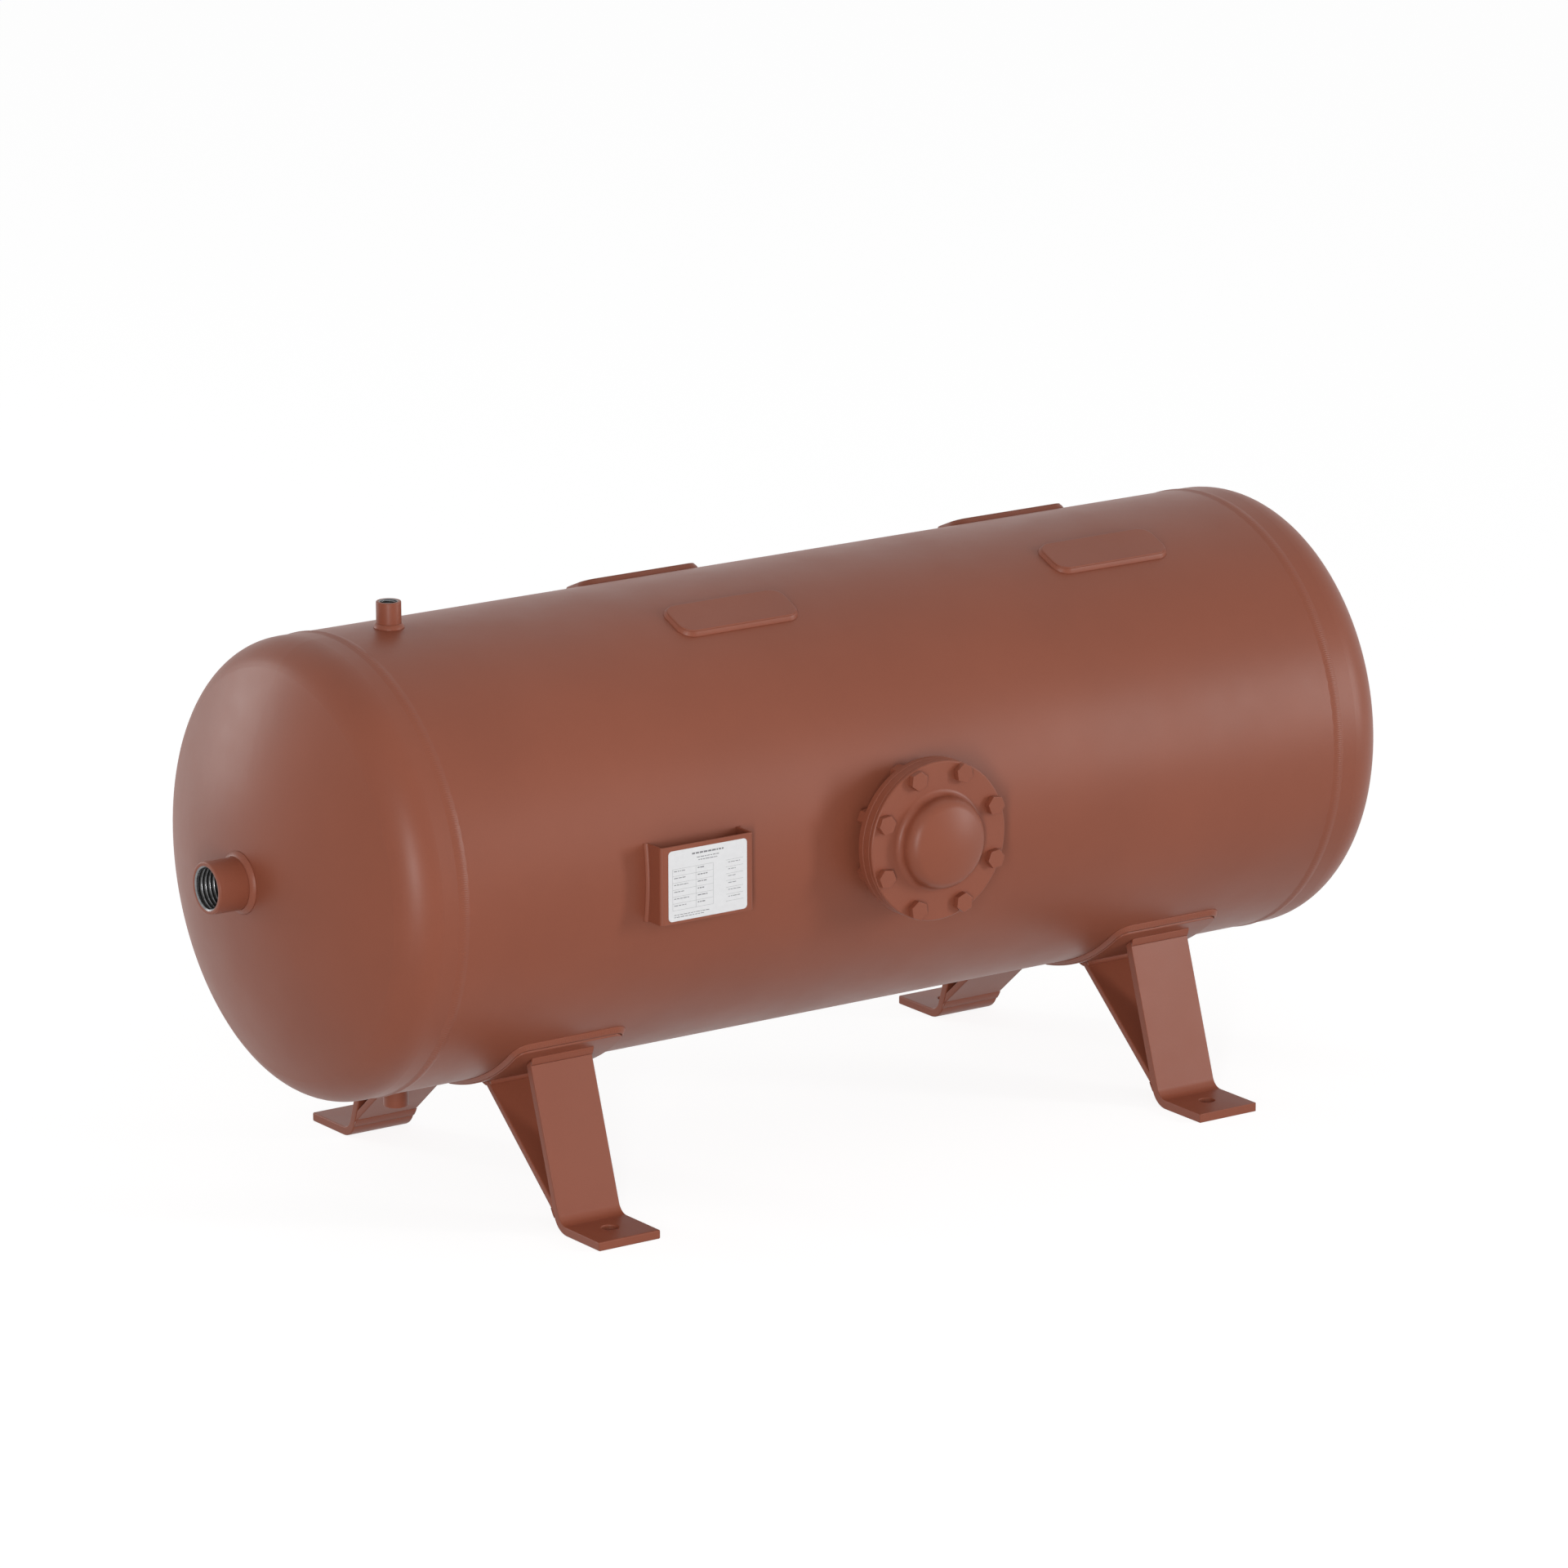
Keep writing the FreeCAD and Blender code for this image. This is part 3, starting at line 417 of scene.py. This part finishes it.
low, high = corners("shell_seam_weld")
LONG_HALF = 6 * MM
long_angle = math.atan2((low.y + high.y) / 2, (low.z + high.z) / 2 - AXIS.z)
along = np.linspace(low.x, high.x, stations_for(high.x - low.x))
half_angle = LONG_HALF / SHELL_RADIUS


def along_shell(radius, angle):
    return np.stack([along, np.full_like(along, radius * math.sin(angle)),
                     np.full_like(along, AXIS.z + radius * math.cos(angle))], axis=1)


run = (along_shell(SHELL_RADIUS - SUNK, long_angle - half_angle),
       along_shell(SHELL_RADIUS - SUNK, long_angle + half_angle),
       along_shell(SHELL_RADIUS - BUTT_ROOT, long_angle), False)
make_bead("shell_seam_bead", [run], 1.5 * MM, "shell_seam_weld", 0.2, True)
print("head seams stand", round(SEAM_PROUD / MM, 2), "mm proud")

# %% [markdown]
# ## Fillets round the sockets and the neck
# A socket meets the shell along a curve that dips at the sides, because the shell falls away there. The
# bead's lines are therefore worked out on a circle in the socket's own frame: height is how far out the
# wall lies at that place, on the rolled shell or on the dished head.

# %% Lay the round fillets
def frame_out(direction):
    """Two directions across and one out, for a fitting that points along direction."""
    out = Vector(direction).normalized()
    first = Vector((1, 0, 0)) if abs(out.x) < 0.9 else Vector((0, 1, 0))
    second = out.cross(first).normalized()
    return np.array(first), np.array(second), np.array(out)


def on_shell(across_y):
    return np.sqrt(SHELL_RADIUS ** 2 - across_y ** 2)


def ring_bead(name, node, centre, direction, radius, leg, rise, wall_height):
    """A fillet round a fitting: wall_height says how far out the wall is at (a, b) in its frame."""
    first, second, out = frame_out(direction)
    angles = np.linspace(0, 2 * math.pi, stations_for(2 * math.pi * (radius + leg)), endpoint=False)
    centre = np.array(centre)

    def ring(distance, lift):
        a, b = distance * np.cos(angles), distance * np.sin(angles)
        height = wall_height(a, b) + lift
        return centre + a[:, None] * first + b[:, None] * second + height[:, None] * out

    run = (ring(radius, rise), ring(radius + leg, 0), ring(radius, -ROOT_DEPTH), True)
    return make_bead(name, [run], 0.16 * (leg + rise) / 2, node, 0.14)


def shell_wall(a, b):
    return on_shell(b)


small = middle("top_socket")
small_radius = extent("top_socket").x / 2
ring_bead("top_socket_bead", "top_socket_weld", (small.x, 0, AXIS.z), (0, 0, 1), small_radius,
          leg=3.2 * MM, rise=5.2 * MM, wall_height=shell_wall)
ring_bead("bottom_socket_bead", "bottom_socket_weld", (small.x, 0, AXIS.z), (0, 0, -1), small_radius,
          leg=3.2 * MM, rise=5.2 * MM, wall_height=shell_wall)
ring_bead("neck_bead", "handhole_neck_weld", (0, 0, AXIS.z), (0, -1, 0), extent("handhole_neck").x / 2,
          leg=5 * MM, rise=4.5 * MM, wall_height=shell_wall)

CROWN_RADIUS = 2 * SHELL_RADIUS
pole_x = corners("head_right")[1].x
end_radius = extent("end_socket_right").y / 2
bore_drop = CROWN_RADIUS - math.sqrt(CROWN_RADIUS ** 2 - end_radius ** 2)


def head_wall(a, b):
    return np.sqrt(CROWN_RADIUS ** 2 - a ** 2 - b ** 2) - CROWN_RADIUS + pole_x + bore_drop


for side, sign in (("left", -1), ("right", 1)):
    ring_bead("end_socket_bead_" + side, "end_socket_weld_" + side, AXIS, (sign, 0, 0), end_radius,
              leg=5.7 * MM, rise=5.5 * MM, wall_height=head_wall)
print("round fillets laid; socket radius", round(small_radius / MM, 2), "mm")

# %% [markdown]
# ## Beads round the pads
# The mounting pads are flat and lie along the top of the round shell; the saddle pads are rolled to fit
# it. Both outlines are rectangles with round corners, so one function walks round such an outline and
# drops each point onto the shell.

# %% Lay the pad and saddle beads
def walk_rounded(half_length, half_width, corner, count):
    """Evenly spaced points round a rectangle with round corners, and the outward direction at each."""
    straight = [2 * (half_length - corner), 2 * (half_width - corner)]
    arc = math.pi / 2 * corner
    total = 2 * sum(straight) + 4 * arc
    points, normals = [], []
    for step in range(count):
        distance = total * step / count
        heading = -math.pi / 2
        centre = [(-1, -1), (1, -1), (1, 1), (-1, 1)]
        for side in range(4):
            length = straight[side % 2]
            outward = Vector((math.cos(heading), math.sin(heading)))
            ahead = Vector((-outward.y, outward.x))
            here = Vector((centre[side][0] * (half_length - corner),
                           centre[side][1] * (half_width - corner)))
            if distance <= length:
                points.append(here + outward * corner + ahead * distance)
                normals.append(outward)
                break
            distance -= length
            hub = here + ahead * length
            if distance <= arc:
                swing = heading + distance / corner
                outward = Vector((math.cos(swing), math.sin(swing)))
                points.append(hub + outward * corner)
                normals.append(outward)
                break
            distance -= arc
            heading += math.pi / 2
    return np.array([list(point) for point in points]), np.array([list(normal) for normal in normals])


def pad_bead(name, node, centre_x, tilt, half_length, half_width, corner, leg, edge_height):
    """A bead round a pad whose outward direction leans by tilt from the vertical, towards the front."""
    length = 4 * (half_length + half_width)
    outline, normals = walk_rounded(half_length, half_width, corner, stations_for(length))
    out = np.array([0, -math.sin(tilt), math.cos(tilt)])
    over = np.array([0, math.cos(tilt), math.sin(tilt)])
    base = np.array([centre_x, 0, AXIS.z])

    def place(shift, height):
        flat = outline + normals * shift
        on_plane = base + flat[:, :1] * np.array([1, 0, 0]) + flat[:, 1:] * over
        return on_plane + height(flat[:, 1])[:, None] * out

    def under_shell(across):
        return on_shell(across) - ROOT_DEPTH

    run = (place(0, edge_height), place(leg, on_shell), place(0, under_shell), True)
    return make_bead(name, [run], 0.12 * leg, node)


PAD_TILT = math.radians(22.6)
PAD_WIDTH = 49 * MM
PAD_CORNER = 15 * MM
PAD_WELD = 3 * MM
PAD_BEAD_TOP = 3.9 * MM
saddle_angles = [math.atan2(-corner.co.y, corner.co.z - AXIS.z)
                 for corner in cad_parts["saddle_pad_front_left"].data.vertices]
SADDLE_TILT = (min(saddle_angles) + max(saddle_angles)) / 2
SADDLE_HALF_ANGLE = (max(saddle_angles) - min(saddle_angles)) / 2
SADDLE_THICK = 6 * MM
SADDLE_CORNER = 12 * MM
SADDLE_WELD = 5 * MM
SADDLE_OUTSIDE = SHELL_RADIUS + SADDLE_THICK
SADDLE_EDGE_SHOWS = 1.2 * MM


def pad_edge(across):
    """How high the bead climbs a flat pad's edge."""
    return np.full_like(across, SHELL_RADIUS + PAD_BEAD_TOP)


def saddle_edge(across):
    """How high the bead climbs a saddle's edge, all along its round."""
    return np.sqrt((SADDLE_OUTSIDE - SADDLE_EDGE_SHOWS) ** 2 - across ** 2)


for row, sign in (("front", 1), ("rear", -1)):
    for side in ("left", "right"):
        name = row + "_" + side
        pad_bead("pad_bead_" + name, "mount_pad_weld_" + name, middle("mount_pad_" + name).x,
                 sign * PAD_TILT, extent("mount_pad_" + name).x / 2, PAD_WIDTH / 2,
                 PAD_CORNER, PAD_WELD, pad_edge)
        pad_bead("saddle_bead_" + name, "saddle_weld_" + name, middle("saddle_pad_" + name).x,
                 sign * SADDLE_TILT, extent("saddle_pad_" + name).x / 2,
                 SADDLE_OUTSIDE * math.sin(SADDLE_HALF_ANGLE), SADDLE_CORNER, SADDLE_WELD, saddle_edge)
print("pads and saddles are welded round; a saddle lies", round(math.degrees(SADDLE_TILT), 1),
      "degrees from the top and spans", round(2 * math.degrees(SADDLE_HALF_ANGLE), 1))

# %% [markdown]
# ## Beads on the bracket and the legs
# The nameplate bracket is welded along its two sides, so those beads follow the round of the shell. The
# bars of a leg are cut to the saddle, and their beads run straight across the bar. The same sweep serves:
# only the edge, the toe and the root are worked out anew, from the bar's own lines.

# %% Lay the bracket and leg beads
BRACKET_WELD = 3.5 * MM
bracket_low, bracket_high = corners("nameplate_bracket")
swing = math.asin(extent("nameplate_bracket").z / 2 / SHELL_RADIUS)
climb = np.linspace(-swing, swing, stations_for(2 * swing * SHELL_RADIUS))


def up_shell(x, radius):
    """Points up the front of the shell."""
    return np.stack([np.full_like(climb, x), -radius * np.cos(climb),
                     AXIS.z + radius * np.sin(climb)], axis=1)


runs = []
for x, away in ((bracket_low.x, -1), (bracket_high.x, 1)):
    runs.append((up_shell(x, SHELL_RADIUS + BRACKET_WELD), up_shell(x + away * BRACKET_WELD, SHELL_RADIUS),
                 up_shell(x, SHELL_RADIUS - ROOT_DEPTH), False))
make_bead("bracket_beads", runs, 0.5 * MM, "nameplate_bracket_welds")

# the outer face of a leg, its inner face and the two faces of its brace, seen from the end of the tank:
# (out, height) points and leans from the vertical
LEG_LEAN = math.radians(18.2)
BRACE_LEAN = math.radians(49.7)
LEG_THICK = 10 * MM
BRACE_THICK = 8 * MM
HEEL = Vector((0.2123, LEG_THICK))
BRACE_RISE = 20.5 * MM
LEG_WELD = 6 * MM
instep = Vector((HEEL.x - LEG_THICK * math.tan(math.radians(45) - LEG_LEAN / 2), 0))


def up_bar(start, lean, run, aside=0.0):
    """A point along a bar that leans inwards, and square off it towards its outer side."""
    along_bar = Vector((-math.sin(lean), math.cos(lean)))
    off_bar = Vector((math.cos(lean), math.sin(lean)))
    return start + run * along_bar + aside * off_bar


def run_to_saddle(start, lean):
    """How far up a bar its face meets the outside of the saddle."""
    reach = start.x * math.sin(lean) + (AXIS.z - start.y) * math.cos(lean)
    offset = start.x * math.cos(lean) - (AXIS.z - start.y) * math.sin(lean)
    return reach - math.sqrt(SADDLE_OUTSIDE ** 2 - offset ** 2)


def saddle_point(root, shift):
    """A point on the saddle, shift further round from root; a positive shift goes up and out."""
    angle = math.atan2(root.x, AXIS.z - root.y) + shift / SADDLE_OUTSIDE
    return Vector((SADDLE_OUTSIDE * math.sin(angle), AXIS.z - SADDLE_OUTSIDE * math.cos(angle)))


brace_foot = up_bar(instep, LEG_LEAN, BRACE_RISE / math.cos(LEG_LEAN))
brace_top = up_bar(brace_foot, LEG_LEAN, BRACE_THICK / math.sin(BRACE_LEAN - LEG_LEAN))
bead_sections = []
for start, lean, side in ((HEEL, LEG_LEAN, 1), (brace_foot, BRACE_LEAN, -1), (brace_top, BRACE_LEAN, 1)):
    run = run_to_saddle(start, lean)
    root = up_bar(start, lean, run)
    bead_sections.append((up_bar(start, lean, run - LEG_WELD), saddle_point(root, side * LEG_WELD),
                          up_bar(root, lean, 0, -side * ROOT_DEPTH)))
bead_sections.append((up_bar(brace_foot, BRACE_LEAN, LEG_WELD), up_bar(brace_foot, LEG_LEAN, -LEG_WELD),
                      up_bar(brace_foot, LEG_LEAN, 0, ROOT_DEPTH)))


def across_bar(low_x, high_x, side, point):
    """A straight line of stations across a leg, at one (out, height) point."""
    x = np.linspace(low_x, high_x, stations_for(high_x - low_x))
    return np.stack([x, np.full_like(x, side * point.x), np.full_like(x, point.y)], axis=1)


for row, side in (("front", -1), ("rear", 1)):
    for end in ("left", "right"):
        low, high = corners("brace_" + row + "_" + end)
        runs = [tuple(across_bar(low.x, high.x, side, point) for point in section) + (False,)
                for section in bead_sections]
        make_bead("leg_beads_" + row + "_" + end, runs, 0.5 * MM, "leg_weld_" + row + "_" + end, 0.12)
print("bracket and leg beads laid")

# %% [markdown]
# ## Rolled and flame-cut edges
# Flat bar, pressed plate and turned rings never have knife edges: a millimetre of rounding catches the
# light along every rim. The CAD pieces are left as they are; a copy of each one has its flat faces
# joined, its sharp edges found by angle and rounded with a bevel, and stands for the original.

# %% Round the edges of bars, pads and rings
def ease_edges(node, width):
    """A copy of a CAD node with rounded edges, which takes the node's place."""
    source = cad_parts[node]
    mesh = source.data.copy()
    mesh.name = node + "_eased"
    piece = bpy.data.objects.new(node + "_eased", mesh)
    bpy.context.collection.objects.link(piece)
    shape = bmesh.new()
    shape.from_mesh(mesh)
    bmesh.ops.remove_doubles(shape, verts=shape.verts, dist=0.001 * MM)
    bmesh.ops.dissolve_limit(shape, angle_limit=math.radians(0.5), verts=shape.verts, edges=shape.edges)
    bmesh.ops.recalc_face_normals(shape, faces=shape.faces)
    shape.normal_update()
    sharp = [edge for edge in shape.edges if len(edge.link_faces) == 2 and edge.calc_face_angle() > SHARP]
    bmesh.ops.bevel(shape, geom=sharp, offset=width, offset_type="OFFSET", segments=3, profile=0.5,
                    affect="EDGES", clamp_overlap=True)
    bmesh.ops.triangulate(shape, faces=[face for face in shape.faces if len(face.verts) > 4])
    shape.to_mesh(mesh)
    shape.free()
    mesh.materials.clear()
    mesh.materials.append(finish_for(node))
    mesh.set_sharp_from_angle(angle=math.radians(50))
    mesh.shade_smooth()
    flat = piece.modifiers.new("flat faces stay flat", "WEIGHTED_NORMAL")
    flat.keep_sharp = True
    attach(piece, "root")
    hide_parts(node)
    return piece


EASED = {"handhole_flange": 0.8 * MM, "handhole_backing_ring": 0.6 * MM, "handhole_cover": 0.5 * MM,
         "handhole_bolts": 0.6 * MM, "nameplate_bracket": 0.8 * MM}
for row in ("front", "rear"):
    for side in ("left", "right"):
        for kind, width in (("leg_", 1.6), ("brace_", 1.4), ("saddle_pad_", 1.0), ("mount_pad_", 1.2)):
            EASED[kind + row + "_" + side] = width * MM
for node, width in EASED.items():
    ease_edges(node, width)
print("pieces with eased edges:", len(EASED))

# %% [markdown]
# ## Threaded sockets
# A socket is a turned steel boss whose bore carries a pipe thread. Its surface is one grid: rows run round
# the socket, from the foot up the outside, over the rim and down the bore. In the bore the radius of a
# point depends on its height and its angle together, which winds the thread as one true helix. The pitch
# is wider than a real pipe thread's, so that single turns can be told apart from a few metres away.

# %% Turn the sockets and cut their threads
ROUND_STEPS = 96
ROWS_PER_PITCH = 12


def rim_round(radius, height, size, start):
    """Points of a quarter round at a rim, from angle start, as (radius, height) pairs."""
    angles = [start + step * math.pi / 8 for step in range(5)]
    return [(radius + size * math.cos(angle), height + size * math.sin(angle)) for angle in angles]


def make_socket(name, node, direction, outer, crest, bottom, face, bevel, pitch, depth):
    """A socket along direction: outer and crest are radii, bottom and face distances from the axis."""
    first, second, out = frame_out(direction)
    turn = np.linspace(0, 2 * math.pi, ROUND_STEPS, endpoint=False)
    plain = [(crest + bevel, bottom)]
    plain += rim_round(outer - bevel / 2, bottom + bevel / 2, bevel / 2, -math.pi / 2)
    plain += rim_round(outer - bevel, face - bevel, bevel, 0)
    plain += [(crest + bevel + 0.3 * MM, face), (crest + bevel, face - 0.15 * MM)]
    rows = [(np.full(ROUND_STEPS, radius), height) for radius, height in plain]
    low, high = bottom + bevel, face - bevel
    count = int((high - low) / pitch * ROWS_PER_PITCH)
    shaded_roots = []
    for step in range(count + 1):
        height = high + (low - high) * step / count
        wave = 0.5 - 0.5 * np.cos(2 * math.pi * (height / pitch - turn / (2 * math.pi)))
        fade = min(1.0, (high - height) / (0.5 * pitch), (height - low) / (0.5 * pitch))
        rows.append((crest + depth * fade * wave, height))
        # Rows deep in a thread root are marked for the near-black painted shade.
        shaded_roots.append(fade * wave > 0.5)
    base = np.array((middle(node).x if abs(out[2]) > 0.5 else 0.0, 0.0, AXIS.z))
    points = [base + radii[:, None] * (np.cos(turn)[:, None] * first + np.sin(turn)[:, None] * second)
              + height * out for radii, height in rows]
    faces = []
    for row in range(len(rows)):
        after = (row + 1) % len(rows)
        for step in range(ROUND_STEPS):
            beside = (step + 1) % ROUND_STEPS
            faces.append((row * ROUND_STEPS + step, row * ROUND_STEPS + beside,
                          after * ROUND_STEPS + beside, after * ROUND_STEPS + step))
    piece = piece_from(name, np.concatenate(points), faces, primer_plate)
    outward_faces(piece)
    piece.data.materials.append(thread_steel)
    piece.data.materials.append(thread_root_shade)
    bare = (len(plain) - 1) * ROUND_STEPS
    for polygon in piece.data.polygons:
        row, step = divmod(polygon.index - bare - ROUND_STEPS, ROUND_STEPS)
        if polygon.index >= bare:
            # Bore faces take bare steel, and faces in a thread root take the painted shade.
            polygon.material_index = 2 if 0 <= row < len(shaded_roots) and shaded_roots[row][step] else 1
    piece.data.set_sharp_from_angle(angle=math.radians(40))
    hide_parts(node)
    return piece


END_CREST = 22.42 * MM
SMALL_CREST = 9.315 * MM
for side, sign in (("left", -1), ("right", 1)):
    low, high = corners("end_socket_" + side)
    near, far = sorted((abs(low.x), abs(high.x)))
    make_socket("end_socket_turned_" + side, "end_socket_" + side, (sign, 0, 0), end_radius, END_CREST,
                near, far, bevel=1.6 * MM, pitch=5.0 * MM, depth=1.5 * MM)
for node, sign in (("top_socket", 1), ("bottom_socket", -1)):
    low, high = corners(node)
    near, far = sorted((abs(low.z - AXIS.z), abs(high.z - AXIS.z)))
    make_socket(node + "_turned", node, (0, 0, sign), small_radius, SMALL_CREST, near, far,
                bevel=1.0 * MM, pitch=2.6 * MM, depth=1.0 * MM)
print("threads cut in four sockets")

# %% [markdown]
# ## The print on the label
# The label is a data plate with nothing to read: bars of grey stand where a form would have its lines, and
# thin rules make an empty table. Each mark is a very thin plate with its own place, measured from the
# label's top left corner. The lengths of the bars come from a seeded draw, so every run prints the same.

# %% Print the label
label_low, label_high = corners("nameplate_label")
PRINT_PROUD = 0.05 * MM


def plate_points(left, top, width, height):
    """The eight corners of one printed mark, in the label's own millimetres."""
    x = [label_low.x + left * MM, label_low.x + (left + width) * MM]
    z = [label_high.z - (top + height) * MM, label_high.z - top * MM]
    y = [label_low.y - PRINT_PROUD, label_low.y + PRINT_PROUD]
    return [(x[i], y[j], z[k]) for i in (0, 1) for j in (0, 1) for k in (0, 1)]


BOX_FACES = ((0, 1, 3, 2), (4, 6, 7, 5), (0, 4, 5, 1), (2, 3, 7, 6), (0, 2, 6, 4), (1, 5, 7, 3))


def print_marks(name, marks, material):
    points, faces = [], []
    for mark in marks:
        shift = len(points)
        points += plate_points(*mark)
        faces += [tuple(shift + index for index in face) for face in BOX_FACES]
    piece = piece_from(name, points, faces, material)
    outward_faces(piece)
    piece.data.shade_flat()
    return piece


draw = random.Random(5)


def word_bars(left, top, width, height):
    """A line of short bars with gaps between them, as wide as asked."""
    bars, here = [], left
    while here < left + width - 1.0:
        length = min(draw.uniform(1.6, 5.0), left + width - here)
        bars.append((here, top, length, height))
        here += length + 0.9
    return bars


TABLE_ROWS = (20.0, 27.5, 35.0, 42.5, 50.0, 57.5, 65.0)
ink = word_bars(30, 5.4, 40, 1.8) + word_bars(36, 10.7, 28, 0.8) + word_bars(38, 13.7, 24, 0.8)
for top in TABLE_ROWS[:-1]:
    ink += word_bars(7, top + 2.2, draw.uniform(13, 20), 0.8)
    ink += word_bars(37, top + 2.0, draw.uniform(8, 15), 1.1)
    ink += word_bars(76, top + 2.4, draw.uniform(9, 16), 0.7)
ink += word_bars(7, 70.0, 46, 0.7) + word_bars(7, 72.4, 38, 0.7)
rules = [(5, top, 52, 0.3) for top in TABLE_ROWS] + [(x, 20.0, 0.3, 45.0) for x in (5, 34.7, 56.7)]
rules += [(73, top, 22, 0.3) for top in TABLE_ROWS]
print_marks("label_words", ink, label_ink)
print_marks("label_rules", rules, label_rule)
print("marks on the label:", len(ink) + len(rules))

# %% [markdown]
# ## Light and floor
# The background is plain white, but white walls all round would leave the primer flat. So the floor and
# the world look white only to rays that come from the camera, a reflection or clear material; for the
# light that falls on the tank they stay at a plain level. Tall soft lamps near the horizon, two in front
# and one behind, give the long highlights along the shell and round the heads.

# %% Set up the stage
WORLD_LEVEL = 0.4
FLOOR_BOUNCE = 0.5
FLOOR_GLOW = 0.88
FLOOR_SHADE = 0.25


def seen_directly(tree):
    """1 for rays that show the surroundings themselves, 0 for those that carry their light."""
    path = add_node(tree, "ShaderNodeLightPath")
    total = path.outputs["Is Camera Ray"]
    for other in ("Is Glossy Ray", "Is Transmission Ray"):
        node = add_node(tree, "ShaderNodeMath", operation="MAXIMUM")
        tree.links.new(total, node.inputs[0])
        tree.links.new(path.outputs[other], node.inputs[1])
        total = node.outputs["Value"]
    return total


def make_floor():
    mesh = bpy.data.meshes.new("floor")
    mesh.from_pydata([(-20, -20, 0), (20, -20, 0), (20, 20, 0), (-20, 20, 0)], [], [(0, 1, 2, 3)])
    floor = bpy.data.objects.new("floor", mesh)
    bpy.context.collection.objects.link(floor)
    material, tree, shader = new_material("floor_paint", 0.9)
    shader.inputs["Base Color"].default_value = (FLOOR_BOUNCE, FLOOR_BOUNCE, FLOOR_BOUNCE, 1)
    glow = add_node(tree, "ShaderNodeEmission")
    glow.inputs["Strength"].default_value = FLOOR_GLOW
    thin = add_node(tree, "ShaderNodeBsdfDiffuse")
    thin.inputs["Color"].default_value = (FLOOR_SHADE, FLOOR_SHADE, FLOOR_SHADE, 1)
    white = add_node(tree, "ShaderNodeAddShader")
    tree.links.new(glow.outputs[0], white.inputs[0])
    tree.links.new(thin.outputs[0], white.inputs[1])
    choice = add_node(tree, "ShaderNodeMixShader")
    tree.links.new(seen_directly(tree), choice.inputs[0])
    tree.links.new(shader.outputs[0], choice.inputs[1])
    tree.links.new(white.outputs[0], choice.inputs[2])
    tree.links.new(choice.outputs[0], tree.nodes["Material Output"].inputs["Surface"])
    mesh.materials.append(material)
    return floor


def make_lamp(name, direction, distance, size, power):
    """A soft box that looks at the tank from a direction."""
    data = bpy.data.lights.new(name, "AREA")
    data.shape = "RECTANGLE"
    data.size, data.size_y = size
    data.energy = power
    lamp = bpy.data.objects.new(name, data)
    bpy.context.collection.objects.link(lamp)
    lamp.location = AXIS + Vector(direction).normalized() * distance
    lamp.rotation_euler = (AXIS - lamp.location).to_track_quat("-Z", "Y").to_euler()
    return lamp


def make_world():
    world = bpy.data.worlds.new("studio")
    bpy.context.scene.world = world
    world.use_nodes = True
    tree = world.node_tree
    level = add_node(tree, "ShaderNodeMapRange")
    level.inputs["To Min"].default_value = WORLD_LEVEL
    level.inputs["To Max"].default_value = 1.0
    tree.links.new(seen_directly(tree), level.inputs["Value"])
    background = tree.nodes["Background"]
    background.inputs["Color"].default_value = (1, 1, 1, 1)
    tree.links.new(level.outputs["Result"], background.inputs["Strength"])


make_floor()
make_world()
make_lamp("front_right", (0.72, -0.66, 0.16), 5.0, (0.7, 2.0), 77)
make_lamp("front_left", (-0.62, -0.76, 0.12), 5.0, (0.45, 2.0), 96)
make_lamp("back_left", (-0.5, 0.85, 0.15), 5.0, (0.7, 2.0), 45)
bpy.context.scene.view_settings.view_transform = "Standard"
print("lamps:", len(bpy.data.lights))
